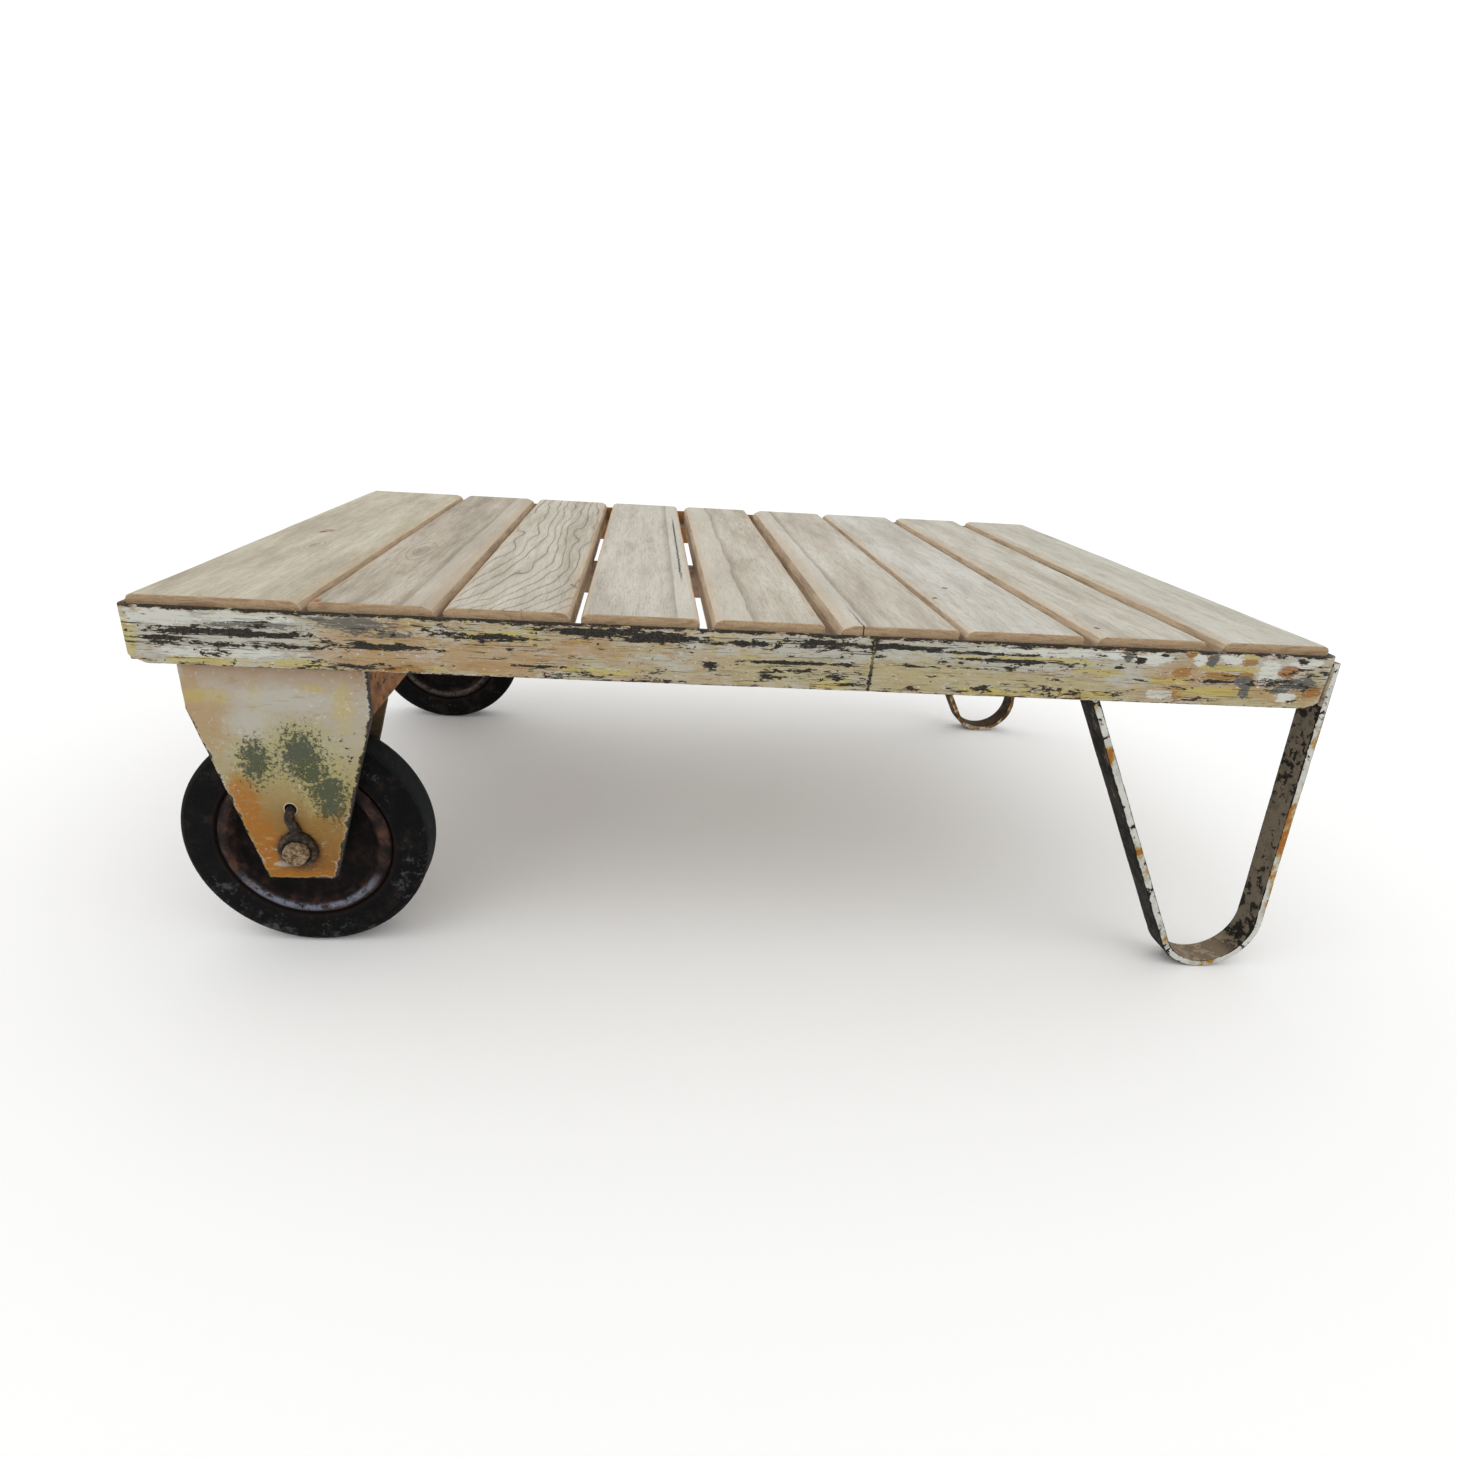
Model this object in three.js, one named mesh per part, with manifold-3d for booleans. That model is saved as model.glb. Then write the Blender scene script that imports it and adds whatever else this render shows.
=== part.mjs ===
// Slatted platform trolley: a welded steel frame with an oak slat deck, standing on two fixed
// wheels at one end and on two bent strap legs at the other.
//
// Millimetres, +Z up. X runs along the deck from the wheel end to the leg end and Y runs across
// it, from the front rail to the rear rail. The parts are placed with the outer corner of the
// frame at X 0, Y 0 and the ground at Z 0. The whole trolley is then moved so that its origin is
// the centre of its footprint, on the ground.

import * as THREE from 'three';
import { mergeVertices } from 'three/addons/utils/BufferGeometryUtils.js';
import Module from 'manifold-3d';

// ---- Driving dimensions ----

// Frame: T-section rails, with a face plate outside and a ledge inside that carries the slats
const FRAME_LENGTH = 1143;
const FRAME_WIDTH = 724;
const RAIL_TOP = 376;
const RAIL_HEIGHT = 54;
const RAIL_THICKNESS = 5.5;
const CORNER_RADIUS = 10;
const LEDGE_DROP = 20;
const LEDGE_THICKNESS = 5.5;
const LEDGE_REACH = 50;
const FIT_GAP = 0.3;
const MITRE_GAP = 0.25;

// Lengthwise bearer under the middle of the slats: a channel, open downwards
const BEARER_WIDTH = 65;
const BEARER_DEPTH = 30;
const BEARER_THICKNESS = 5;
const BEARER_CENTRE_Y = 350;

// Deck: nine planks laid across the frame, with uneven hand-set widths and gaps
const SLAT_WIDTHS = [153, 114, 116, 110, 106, 116, 116, 108, 108];
const SLAT_GAPS = [6, 6, 10, 12, 13, 6, 13, 17];
const SLAT_THICKNESS = 28.2;
const SLAT_EDGE_WIDTH = 6.5;
const SLAT_EDGE_DROP = 6;
const SLAT_SIDE_CLEARANCE = 1;
const SLAT_END_CLEARANCE = 2.5;

// Legs: flat bar bent to a U, one arm against the leg-end rail and one slanting under the ledge
const STRAP_WIDTH = 30;
const STRAP_THICKNESS = 8;
const LEG_BEND_RADIUS = 57.5;
const LEG_OUTER_LEAN = THREE.MathUtils.degToRad(4.8);
const LEG_INNER_LEAN = THREE.MathUtils.degToRad(28.6);
const LEG_OUTER_TOP = 368;

// Wheels and axles
const WHEEL_RADIUS = 125;
const AXLE_X = 128;
const TYRE_HALF_WIDTH = 24;
const RIM_RADIUS = 88.5;
const RIM_SEAT_RADIUS = 72.5;
const RIM_CREST = 25.5;
const RIM_SHEET = 4;
const DISC_FACE = 12;
const HUB_LENGTH = 54;
const HUB_RADIUS = 20;
const BUSH_RADIUS = 16;
const BUSH_LENGTH = 24;
const AXLE_RADIUS = 12.5;
const AXLE_CLEARANCE = 0.6;
const AXLE_STICKS_OUT = 14.8;
const AXLE_HEAD_RADIUS = 19;
const AXLE_HEAD_THICKNESS = 8;
const WASHER_RADIUS = 21;
const WASHER_THICKNESS = 2.5;

// Half of the tyre's side and of a rim's rolled lip, each point as a radius and a distance from
// the wheel's middle plane
const TYRE_BEAD_HALF_WIDTH = 14;
const TYRE_TREAD_HALF_WIDTH = 17;
const TYRE_SIDE = [[84, 16.5], [89.5, 17.5], [90.8, 22.5], [94.5, TYRE_HALF_WIDTH],
  [119, TYRE_HALF_WIDTH], [123.8, 21.5]];
const RIM_SEAT_HALF_WIDTH = 16;
const RIM_LIP = [[77, 21.5], [83, 18.5], [RIM_RADIUS, 20.5], [80, RIM_CREST],
  [74.5, RIM_CREST]];
const DISH_RADIUS = 56;
const DISH_BACK_RADIUS = 60;
const SEAT_BACK_OFFSET = 10;

// Forks: an outer and an inner cheek plate at each end of a cross channel, open downwards
const CHEEK_THICKNESS = 6;
const FORK_CLEAR_WIDTH = 60.2;
const CHEEK_HALF_TOP = 86;
const CHEEK_HALF_BOTTOM = 34.5;
const CHEEK_KNEE = 276;
const CHEEK_BOTTOM = 90;
const INNER_CHEEK_KNEE = 264;
const CHANNEL_BOTTOM = 274;
const CHANNEL_THICKNESS = 6;

// Keeper: a round bar bent into a ring about the axle end, with its stem hooked into the cheek
const KEEPER_WIRE_RADIUS = 3.4;
const KEEPER_RING_RADIUS = 16.6;
const KEEPER_HOLE_RADIUS = 5.5;
const KEEPER_HOLE_OFFSET = -3;
const KEEPER_HOLE_RISE = 46;

// Smoothness of the round stretches
const WHEEL_SIDES = 40;
const SMALL_SIDES = 24;
const BEND_STEPS = 9;
const CORNER_STEPS = 4;

// ---- Levels and places worked out from them ----

const RAIL_BOTTOM = RAIL_TOP - RAIL_HEIGHT;
const LEDGE_TOP = RAIL_TOP - LEDGE_DROP;
const LEDGE_UNDERSIDE = LEDGE_TOP - LEDGE_THICKNESS;
const HUNG_TOP = LEDGE_UNDERSIDE - FIT_GAP;
const BEHIND_FACE = RAIL_THICKNESS + FIT_GAP;
const CHEEK_BACK = BEHIND_FACE + CHEEK_THICKNESS;
const WHEEL_CENTRE_Y = CHEEK_BACK + FORK_CLEAR_WIDTH / 2;
const INNER_CHEEK_FRONT = CHEEK_BACK + FORK_CLEAR_WIDTH;
const INNER_CHEEK_BACK = INNER_CHEEK_FRONT + CHEEK_THICKNESS;

// ---- Materials ----

function finish(color, roughness, metalness) {
  return new THREE.MeshStandardMaterial({ color, roughness, metalness });
}

const railPaint = () => finish(0xb9b39a, 0.6, 0.1);
const forkPaint = () => finish(0xc59a5c, 0.6, 0.1);
const legPaint = () => finish(0xb0aa98, 0.6, 0.1);
const oak = () => finish(0xc4b59d, 0.75, 0);
const rubber = () => finish(0x1e2022, 0.85, 0);
const rustyRim = () => finish(0x3a2f2b, 0.6, 0.6);
const darkSteel = () => finish(0x3a3633, 0.55, 0.8);
const crustySteel = () => finish(0x9a8169, 0.8, 0.4);
const bronze = () => finish(0x8a6a3a, 0.45, 0.9);

// ---- Solid helpers ----

const wasm = await Module();
wasm.setup();

function toSolid(geometry) {
  const bare = geometry.clone();
  bare.deleteAttribute('normal');
  bare.deleteAttribute('uv');
  const merged = mergeVertices(bare, 1e-4);
  return new wasm.Manifold(new wasm.Mesh({
    numProp: 3,
    vertProperties: new Float32Array(merged.attributes.position.array),
    triVerts: new Uint32Array(merged.index.array),
  }));
}

function toGeometry(solid) {
  const mesh = solid.getMesh();
  const geometry = new THREE.BufferGeometry();
  geometry.setAttribute('position', new THREE.BufferAttribute(mesh.vertProperties, 3));
  geometry.setIndex(new THREE.BufferAttribute(mesh.triVerts, 1));
  return geometry;
}

function joined(first, second) {
  return toGeometry(toSolid(first).add(toSolid(second)));
}

function outline(points) {
  return new THREE.Shape(points.map(([x, y]) => new THREE.Vector2(x, y)));
}

function extrude(shape, depth, curveSegments = CORNER_STEPS) {
  return new THREE.ExtrudeGeometry(shape, { depth, bevelEnabled: false, curveSegments });
}

// A plan shape (X, Y), raised from one level to another
function raise(shape, bottom, top) {
  return extrude(shape, top - bottom).translate(0, 0, bottom);
}

// An upright shape (X, Z), swept along Y
function sweepAcross(shape, fromY, toY, curveSegments) {
  const geometry = extrude(shape, toY - fromY, curveSegments);
  return geometry.rotateX(Math.PI / 2).translate(0, toY, 0);
}

// A section (Y, Z), swept along X
function sweepAlong(shape, fromX, toX) {
  const turn = new THREE.Matrix4().makeBasis(
    new THREE.Vector3(0, 1, 0),
    new THREE.Vector3(0, 0, 1),
    new THREE.Vector3(1, 0, 0),
  );
  return extrude(shape, toX - fromX).applyMatrix4(turn).translate(fromX, 0, 0);
}

// A closed section (radius, Y) that runs anticlockwise, turned about the Y axis
function turned(section, sides) {
  const loop = [...section, section[0]].map(([r, y]) => new THREE.Vector2(r, y));
  return new THREE.LatheGeometry(loop, sides);
}

function tube(innerRadius, outerRadius, fromY, toY) {
  return turned([[innerRadius, fromY], [outerRadius, fromY], [outerRadius, toY],
    [innerRadius, toY]], SMALL_SIDES);
}

function part(name, geometry, material) {
  const mesh = new THREE.Mesh(geometry, material);
  mesh.name = name;
  return mesh;
}

// A group turned half a turn in plan, so that what is at one corner lies at the opposite one
function turnedRound(centreX, parts) {
  const group = new THREE.Group();
  group.add(...parts);
  group.rotation.z = Math.PI;
  group.position.set(2 * centreX, FRAME_WIDTH, 0);
  return group;
}

// ---- Frame ----

// Face plate of a long rail, bent round the corner at both ends
function longFacePlan() {
  const inner = CORNER_RADIUS - RAIL_THICKNESS;
  const farX = FRAME_LENGTH - CORNER_RADIUS;
  const shape = new THREE.Shape();
  shape.absarc(CORNER_RADIUS, CORNER_RADIUS, CORNER_RADIUS, Math.PI, 1.5 * Math.PI);
  shape.absarc(farX, CORNER_RADIUS, CORNER_RADIUS, 1.5 * Math.PI, 2 * Math.PI);
  shape.absarc(farX, CORNER_RADIUS, inner, 2 * Math.PI, 1.5 * Math.PI, true);
  shape.absarc(CORNER_RADIUS, CORNER_RADIUS, inner, 1.5 * Math.PI, Math.PI, true);
  return shape;
}

function longRail() {
  const root = RAIL_THICKNESS - 1;
  const ledge = outline([
    [root + MITRE_GAP, root],
    [FRAME_LENGTH - root - MITRE_GAP, root],
    [FRAME_LENGTH - LEDGE_REACH - MITRE_GAP, LEDGE_REACH],
    [LEDGE_REACH + MITRE_GAP, LEDGE_REACH],
  ]);
  const face = raise(longFacePlan(), RAIL_BOTTOM, RAIL_TOP);
  return joined(face, raise(ledge, LEDGE_UNDERSIDE, LEDGE_TOP));
}

function endRail() {
  const nearEnd = CORNER_RADIUS + FIT_GAP;
  const farEnd = FRAME_WIDTH - nearEnd;
  const root = RAIL_THICKNESS - 1;
  const face = outline([[0, nearEnd], [RAIL_THICKNESS, nearEnd], [RAIL_THICKNESS, farEnd],
    [0, farEnd]]);
  const ledge = outline([
    [root, nearEnd],
    [nearEnd - MITRE_GAP, nearEnd],
    [LEDGE_REACH, LEDGE_REACH + MITRE_GAP],
    [LEDGE_REACH, FRAME_WIDTH - LEDGE_REACH - MITRE_GAP],
    [nearEnd - MITRE_GAP, farEnd],
    [root, farEnd],
  ]);
  return joined(raise(face, RAIL_BOTTOM, RAIL_TOP), raise(ledge, LEDGE_UNDERSIDE, LEDGE_TOP));
}

// Section of a channel that is open downwards, between two sides and two levels
function channelSection(left, right, bottom, top, thickness) {
  return outline([
    [left, bottom],
    [left + thickness, bottom],
    [left + thickness, top - thickness],
    [right - thickness, top - thickness],
    [right - thickness, bottom],
    [right, bottom],
    [right, top],
    [left, top],
  ]);
}

function midBearer() {
  const half = BEARER_WIDTH / 2;
  const section = channelSection(BEARER_CENTRE_Y - half, BEARER_CENTRE_Y + half,
    LEDGE_TOP - BEARER_DEPTH, LEDGE_TOP, BEARER_THICKNESS);
  const fromX = AXLE_X + CHEEK_HALF_TOP + FIT_GAP;
  return sweepAlong(section, fromX, FRAME_LENGTH - LEDGE_REACH - FIT_GAP);
}

function wheelChannel() {
  const section = channelSection(AXLE_X - CHEEK_HALF_TOP, AXLE_X + CHEEK_HALF_TOP,
    CHANNEL_BOTTOM, HUNG_TOP, CHANNEL_THICKNESS);
  const fromY = CHEEK_BACK + FIT_GAP;
  return sweepAcross(section, fromY, FRAME_WIDTH - fromY);
}

function frame() {
  const centreX = FRAME_LENGTH / 2;
  return [
    part('front_rail', longRail(), railPaint()),
    part('wheel_end_rail', endRail(), railPaint()),
    turnedRound(centreX, [
      part('rear_rail', longRail(), railPaint()),
      part('leg_end_rail', endRail(), railPaint()),
    ]),
    part('mid_bearer', midBearer(), railPaint()),
    part('wheel_channel', wheelChannel(), forkPaint()),
  ];
}

// ---- Deck ----

function slat(leftX, width) {
  const bottom = LEDGE_TOP + FIT_GAP;
  const top = bottom + SLAT_THICKNESS;
  const section = outline([
    [leftX, bottom],
    [leftX + width, bottom],
    [leftX + width, top - SLAT_EDGE_DROP],
    [leftX + width - SLAT_EDGE_WIDTH, top],
    [leftX + SLAT_EDGE_WIDTH, top],
    [leftX, top - SLAT_EDGE_DROP],
  ]);
  const endY = RAIL_THICKNESS + SLAT_END_CLEARANCE;
  return sweepAcross(section, endY, FRAME_WIDTH - endY);
}

function deck() {
  let leftX = RAIL_THICKNESS + SLAT_SIDE_CLEARANCE;
  return SLAT_WIDTHS.map((width, index) => {
    const plank = part(`slat_${index + 1}`, slat(leftX, width), oak());
    leftX += width + (SLAT_GAPS[index] ?? 0);
    return plank;
  });
}

// ---- Legs ----

// The inner face of the outer arm meets the leg-end rail at the arm's top, which sets the
// bend's centre.
function legCentreX() {
  const innerRadius = LEG_BEND_RADIUS - STRAP_THICKNESS;
  const tangentZ = LEG_BEND_RADIUS + innerRadius * Math.sin(LEG_OUTER_LEAN);
  const setback = (LEG_OUTER_TOP - tangentZ) * Math.tan(LEG_OUTER_LEAN);
  return FRAME_LENGTH + FIT_GAP + setback - innerRadius * Math.cos(LEG_OUTER_LEAN);
}

function legOutline() {
  const centre = new THREE.Vector2(legCentreX(), LEG_BEND_RADIUS);
  const innerRadius = LEG_BEND_RADIUS - STRAP_THICKNESS;
  const down = -Math.PI / 2;
  const slantAngle = LEG_INNER_LEAN - Math.PI;

  // Where an arm's face, tangent to the bend at this angle, reaches a level
  function armEnd(radius, angle, lean, level) {
    const tangent = new THREE.Vector2(Math.cos(angle), Math.sin(angle)).multiplyScalar(radius);
    tangent.add(centre);
    return [tangent.x - (level - tangent.y) * Math.tan(lean), level];
  }

  const shape = new THREE.Shape();
  shape.moveTo(...armEnd(LEG_BEND_RADIUS, slantAngle, LEG_INNER_LEAN, HUNG_TOP));
  shape.absarc(centre.x, centre.y, LEG_BEND_RADIUS, slantAngle, down);
  shape.absarc(centre.x, centre.y, LEG_BEND_RADIUS, down, LEG_OUTER_LEAN);
  shape.lineTo(...armEnd(LEG_BEND_RADIUS, LEG_OUTER_LEAN, LEG_OUTER_LEAN, LEG_OUTER_TOP));
  shape.lineTo(...armEnd(innerRadius, LEG_OUTER_LEAN, LEG_OUTER_LEAN, LEG_OUTER_TOP));
  shape.absarc(centre.x, centre.y, innerRadius, LEG_OUTER_LEAN, down, true);
  shape.absarc(centre.x, centre.y, innerRadius, down, slantAngle, true);
  shape.lineTo(...armEnd(innerRadius, slantAngle, LEG_INNER_LEAN, HUNG_TOP));
  return shape;
}

function legs() {
  const frontY = BEHIND_FACE;
  const rearY = FRAME_WIDTH - BEHIND_FACE - STRAP_WIDTH;
  return [['front_leg', frontY], ['rear_leg', rearY]].map(([name, y]) => {
    const strap = sweepAcross(legOutline(), y, y + STRAP_WIDTH, BEND_STEPS);
    return part(name, strap, legPaint());
  });
}

// ---- Forks and wheels: everything below is centred on the axle at X 0, Z 0 ----

function addHole(shape, x, z, radius) {
  const hole = new THREE.Path();
  hole.absarc(x, z, radius, 0, 2 * Math.PI);
  shape.holes.push(hole);
}

// A cheek plate that drops straight from its top to the knee and then tapers to the axle
function cheek(halfTop, top, knee, fromY, extraHole) {
  const shape = outline([
    [-CHEEK_HALF_BOTTOM, CHEEK_BOTTOM],
    [CHEEK_HALF_BOTTOM, CHEEK_BOTTOM],
    [halfTop, knee],
    [halfTop, top],
    [-halfTop, top],
    [-halfTop, knee],
  ]);
  addHole(shape, 0, WHEEL_RADIUS, AXLE_RADIUS + AXLE_CLEARANCE);
  if (extraHole) addHole(shape, ...extraHole);
  const plate = sweepAcross(shape, fromY, fromY + CHEEK_THICKNESS, SMALL_SIDES / 2);
  return plate.translate(0, 0, -WHEEL_RADIUS);
}

function axle() {
  const frontY = BEHIND_FACE - AXLE_STICKS_OUT;
  const headY = INNER_CHEEK_BACK + FIT_GAP;
  const endY = headY + AXLE_HEAD_THICKNESS;
  const profile = [[0, frontY], [AXLE_RADIUS, frontY], [AXLE_RADIUS, headY],
    [AXLE_HEAD_RADIUS, headY], [AXLE_HEAD_RADIUS, endY], [0, endY]];
  return new THREE.LatheGeometry(profile.map(([r, y]) => new THREE.Vector2(r, y)), SMALL_SIDES);
}

function keeper() {
  const wireY = BEHIND_FACE - FIT_GAP - KEEPER_WIRE_RADIUS;
  const ring = new THREE.TorusGeometry(KEEPER_RING_RADIUS, KEEPER_WIRE_RADIUS, 8, 24);
  ring.rotateX(Math.PI / 2).translate(0, wireY, 0);
  const hookY = CHEEK_BACK + 1;
  const stemPath = new THREE.CatmullRomCurve3([
    new THREE.Vector3(0.5, wireY, KEEPER_RING_RADIUS),
    new THREE.Vector3(-2, wireY - 0.5, 0.55 * KEEPER_HOLE_RISE),
    new THREE.Vector3(KEEPER_HOLE_OFFSET - 1, wireY - 1.5, 0.82 * KEEPER_HOLE_RISE),
    new THREE.Vector3(KEEPER_HOLE_OFFSET, wireY + 1, KEEPER_HOLE_RISE - 1),
    new THREE.Vector3(KEEPER_HOLE_OFFSET, hookY, KEEPER_HOLE_RISE),
  ]);
  const section = new THREE.Shape();
  section.absarc(0, 0, KEEPER_WIRE_RADIUS, 0, 2 * Math.PI);
  const stem = new THREE.ExtrudeGeometry(section, {
    steps: 12, extrudePath: stemPath, curveSegments: 4,
  });
  return joined(ring, stem);
}

// The fork's fixed pieces, for the wheel at one side
function forkParts(side) {
  const bore = AXLE_RADIUS + AXLE_CLEARANCE;
  const innerHalf = CHEEK_HALF_TOP - CHANNEL_THICKNESS - FIT_GAP;
  const innerTop = HUNG_TOP - CHANNEL_THICKNESS - FIT_GAP;
  const keeperHole = [KEEPER_HOLE_OFFSET, WHEEL_RADIUS + KEEPER_HOLE_RISE, KEEPER_HOLE_RADIUS];
  const outerWasherY = CHEEK_BACK + FIT_GAP;
  const innerWasherY = INNER_CHEEK_FRONT - FIT_GAP - WASHER_THICKNESS;
  return [
    part(`${side}_outer_cheek`,
      cheek(CHEEK_HALF_TOP, HUNG_TOP, CHEEK_KNEE, BEHIND_FACE, keeperHole), forkPaint()),
    part(`${side}_inner_cheek`,
      cheek(innerHalf, innerTop, INNER_CHEEK_KNEE, INNER_CHEEK_FRONT), forkPaint()),
    part(`${side}_axle`, axle(), crustySteel()),
    part(`${side}_axle_keeper`, keeper(), darkSteel()),
    part(`${side}_outer_washer`, tube(bore, WASHER_RADIUS, outerWasherY,
      outerWasherY + WASHER_THICKNESS), darkSteel()),
    part(`${side}_inner_washer`, tube(bore, WASHER_RADIUS, innerWasherY,
      innerWasherY + WASHER_THICKNESS), darkSteel()),
  ];
}

const flipped = (section) => section.map(([r, y]) => [r, -y]);

// The tyre's section, anticlockwise: from its seat out along one side and back along the other
function tyreSection() {
  const half = [[RIM_SEAT_RADIUS + FIT_GAP, TYRE_BEAD_HALF_WIDTH], ...TYRE_SIDE,
    [WHEEL_RADIUS, TYRE_TREAD_HALF_WIDTH]];
  return [...flipped(half), ...half.toReversed()];
}

// One pressed rim half: a disc with a dished middle, half of the tyre seat and a rolled lip
function rimSection() {
  const hubSide = HUB_RADIUS + FIT_GAP;
  const discBack = DISC_FACE - RIM_SHEET;
  const seatBack = RIM_SEAT_RADIUS - RIM_SHEET;
  return [[hubSide, discBack], [DISH_BACK_RADIUS, discBack], [seatBack, SEAT_BACK_OFFSET],
    [seatBack, FIT_GAP / 2], [RIM_SEAT_RADIUS, FIT_GAP / 2],
    [RIM_SEAT_RADIUS, RIM_SEAT_HALF_WIDTH], ...RIM_LIP, [DISH_RADIUS, DISC_FACE],
    [hubSide, DISC_FACE]];
}

function wheelParts(side) {
  const bore = AXLE_RADIUS + AXLE_CLEARANCE;
  const halfHub = HUB_LENGTH / 2;
  const pieces = [
    part(`${side}_tyre`, turned(tyreSection(), WHEEL_SIDES), rubber()),
    part(`${side}_outer_rim`, turned(flipped(rimSection()).reverse(), WHEEL_SIDES), rustyRim()),
    part(`${side}_inner_rim`, turned(rimSection(), WHEEL_SIDES), rustyRim()),
    part(`${side}_hub`, tube(BUSH_RADIUS + FIT_GAP, HUB_RADIUS, -halfHub, halfHub), darkSteel()),
    part(`${side}_outer_bush`, tube(bore, BUSH_RADIUS, -halfHub, BUSH_LENGTH - halfHub),
      bronze()),
    part(`${side}_inner_bush`, tube(bore, BUSH_RADIUS, halfHub - BUSH_LENGTH, halfHub),
      bronze()),
  ];
  const wheel = new THREE.Group();
  wheel.add(...pieces);
  wheel.position.y = WHEEL_CENTRE_Y;
  return wheel;
}

function wheelSet(side) {
  const set = new THREE.Group();
  set.add(...forkParts(side), wheelParts(side));
  set.position.set(AXLE_X, 0, WHEEL_RADIUS);
  return set;
}

// ---- Assembly ----

const trolley = new THREE.Group();
trolley.add(...frame(), ...deck(), ...legs());
trolley.add(wheelSet('front'), turnedRound(AXLE_X, [wheelSet('rear')]));

const footprint = new THREE.Box3().setFromObject(trolley).getCenter(new THREE.Vector3());
trolley.position.set(-footprint.x, -footprint.y, 0);

export default trolley;
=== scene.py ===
import math
from functools import reduce
import bmesh
import bpy
from mathutils import Matrix, Vector, noise


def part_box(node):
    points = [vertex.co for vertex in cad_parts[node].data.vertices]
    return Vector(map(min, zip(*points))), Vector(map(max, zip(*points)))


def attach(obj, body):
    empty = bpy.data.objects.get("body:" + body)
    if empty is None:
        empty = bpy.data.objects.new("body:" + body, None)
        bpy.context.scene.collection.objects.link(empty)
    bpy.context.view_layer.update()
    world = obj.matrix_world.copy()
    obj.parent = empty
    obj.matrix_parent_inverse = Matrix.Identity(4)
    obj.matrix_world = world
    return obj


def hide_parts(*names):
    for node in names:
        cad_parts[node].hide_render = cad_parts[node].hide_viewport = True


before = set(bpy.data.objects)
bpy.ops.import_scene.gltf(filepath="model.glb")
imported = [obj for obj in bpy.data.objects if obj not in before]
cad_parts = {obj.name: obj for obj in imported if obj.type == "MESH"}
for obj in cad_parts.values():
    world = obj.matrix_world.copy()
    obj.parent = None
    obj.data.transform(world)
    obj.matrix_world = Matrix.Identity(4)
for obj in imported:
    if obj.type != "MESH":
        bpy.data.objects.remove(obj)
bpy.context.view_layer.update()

MM = 0.001


# ---- Mesh helpers: pieces are made in metres in the shared frame, objects at its origin ----

def polar(angle, radius=1.0):
    return Vector((math.cos(angle), math.sin(angle))) * radius


def round_points(sides):
    """Points anticlockwise round a circle of radius 1."""
    return [polar(2 * math.pi * side / sides) for side in range(sides)]


def circle(x, y, radius, sides=40):
    """A clockwise circle, as a hole."""
    return [Vector((x, y)) + polar(-2 * math.pi * side / sides, radius) for side in range(sides)]


def rounded_outline(corners, steps=3, spacing=None):
    """Corners (x, y, radius) as a closed outline whose corners are arcs, split to the spacing."""
    points = []
    count = len(corners)
    for index, (x, y, radius) in enumerate(corners):
        here = Vector((x, y))
        back = (Vector(corners[index - 1][:2]) - here).normalized()
        ahead = (Vector(corners[(index + 1) % count][:2]) - here).normalized()
        half = back.angle(ahead) / 2
        centre = here + (back + ahead).normalized() * radius / math.sin(half)
        start = here + back * radius / math.tan(half) - centre
        end = here + ahead * radius / math.tan(half) - centre
        turn = start.angle(end)
        for step in range(steps + 1):
            part = step / steps
            mixed = start * math.sin((1 - part) * turn) + end * math.sin(part * turn)
            points.append(centre + mixed / math.sin(turn))
    return split_long(points, spacing) if spacing else points


def box_outline(left, right, bottom, top, radius, steps=3, spacing=None):
    """A rounded rectangle, anticlockwise."""
    return rounded_outline([(left, bottom, radius), (right, bottom, radius),
                            (right, top, radius), (left, top, radius)], steps, spacing)


def split_long(points, spacing):
    """A closed outline with extra points on its long stretches."""
    dense = []
    for index, point in enumerate(points):
        after = points[(index + 1) % len(points)]
        pieces = max(1, math.ceil((after - point).length / spacing))
        dense += [point.lerp(after, step / pieces) for step in range(pieces)]
    return dense


def inset(points, amount):
    """A closed anticlockwise outline moved inwards by the amount."""
    moved = []
    for index, point in enumerate(points):
        along = (points[(index + 1) % len(points)] - points[index - 1]).normalized()
        moved.append(point - Vector((along.y, -along.x)) * amount)
    return moved


def spaced(start, end, spacing):
    """Numbers from start to end, about the spacing apart."""
    count = max(2, round(abs(end - start) / spacing) + 1)
    return [start + (end - start) * step / (count - 1) for step in range(count)]


def chained(marks, spacings):
    """Numbers that run through the marks, with a spacing for each stretch between them."""
    run = [marks[0]]
    for start, end, spacing in zip(marks, marks[1:], spacings):
        run += spaced(start, end, spacing)[1:]
    return run


def weather(bm, swell=0.0, swell_size=0.05, nick=0.0, nick_size=0.006, seed=0.0):
    """Moves a mesh's points along their normals: slow unevenness, and small bites."""
    bm.normal_update()
    shift = Vector((seed, seed * 0.7, seed * 1.3))
    pushes = []
    for vert in bm.verts:
        push = swell * noise.noise((vert.co + shift) / swell_size)
        bite = nick * max(0.0, noise.noise((vert.co + shift) / nick_size) - 0.25)
        pushes.append(vert.normal * (push - bite))
    for vert, push in zip(bm.verts, pushes):
        vert.co += push


def add_object(name, bm, material):
    mesh = bpy.data.meshes.new(name)
    bm.to_mesh(mesh)
    bm.free()
    mesh.materials.append(material)
    made = bpy.data.objects.new(name, mesh)
    bpy.context.scene.collection.objects.link(made)
    return made


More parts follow.
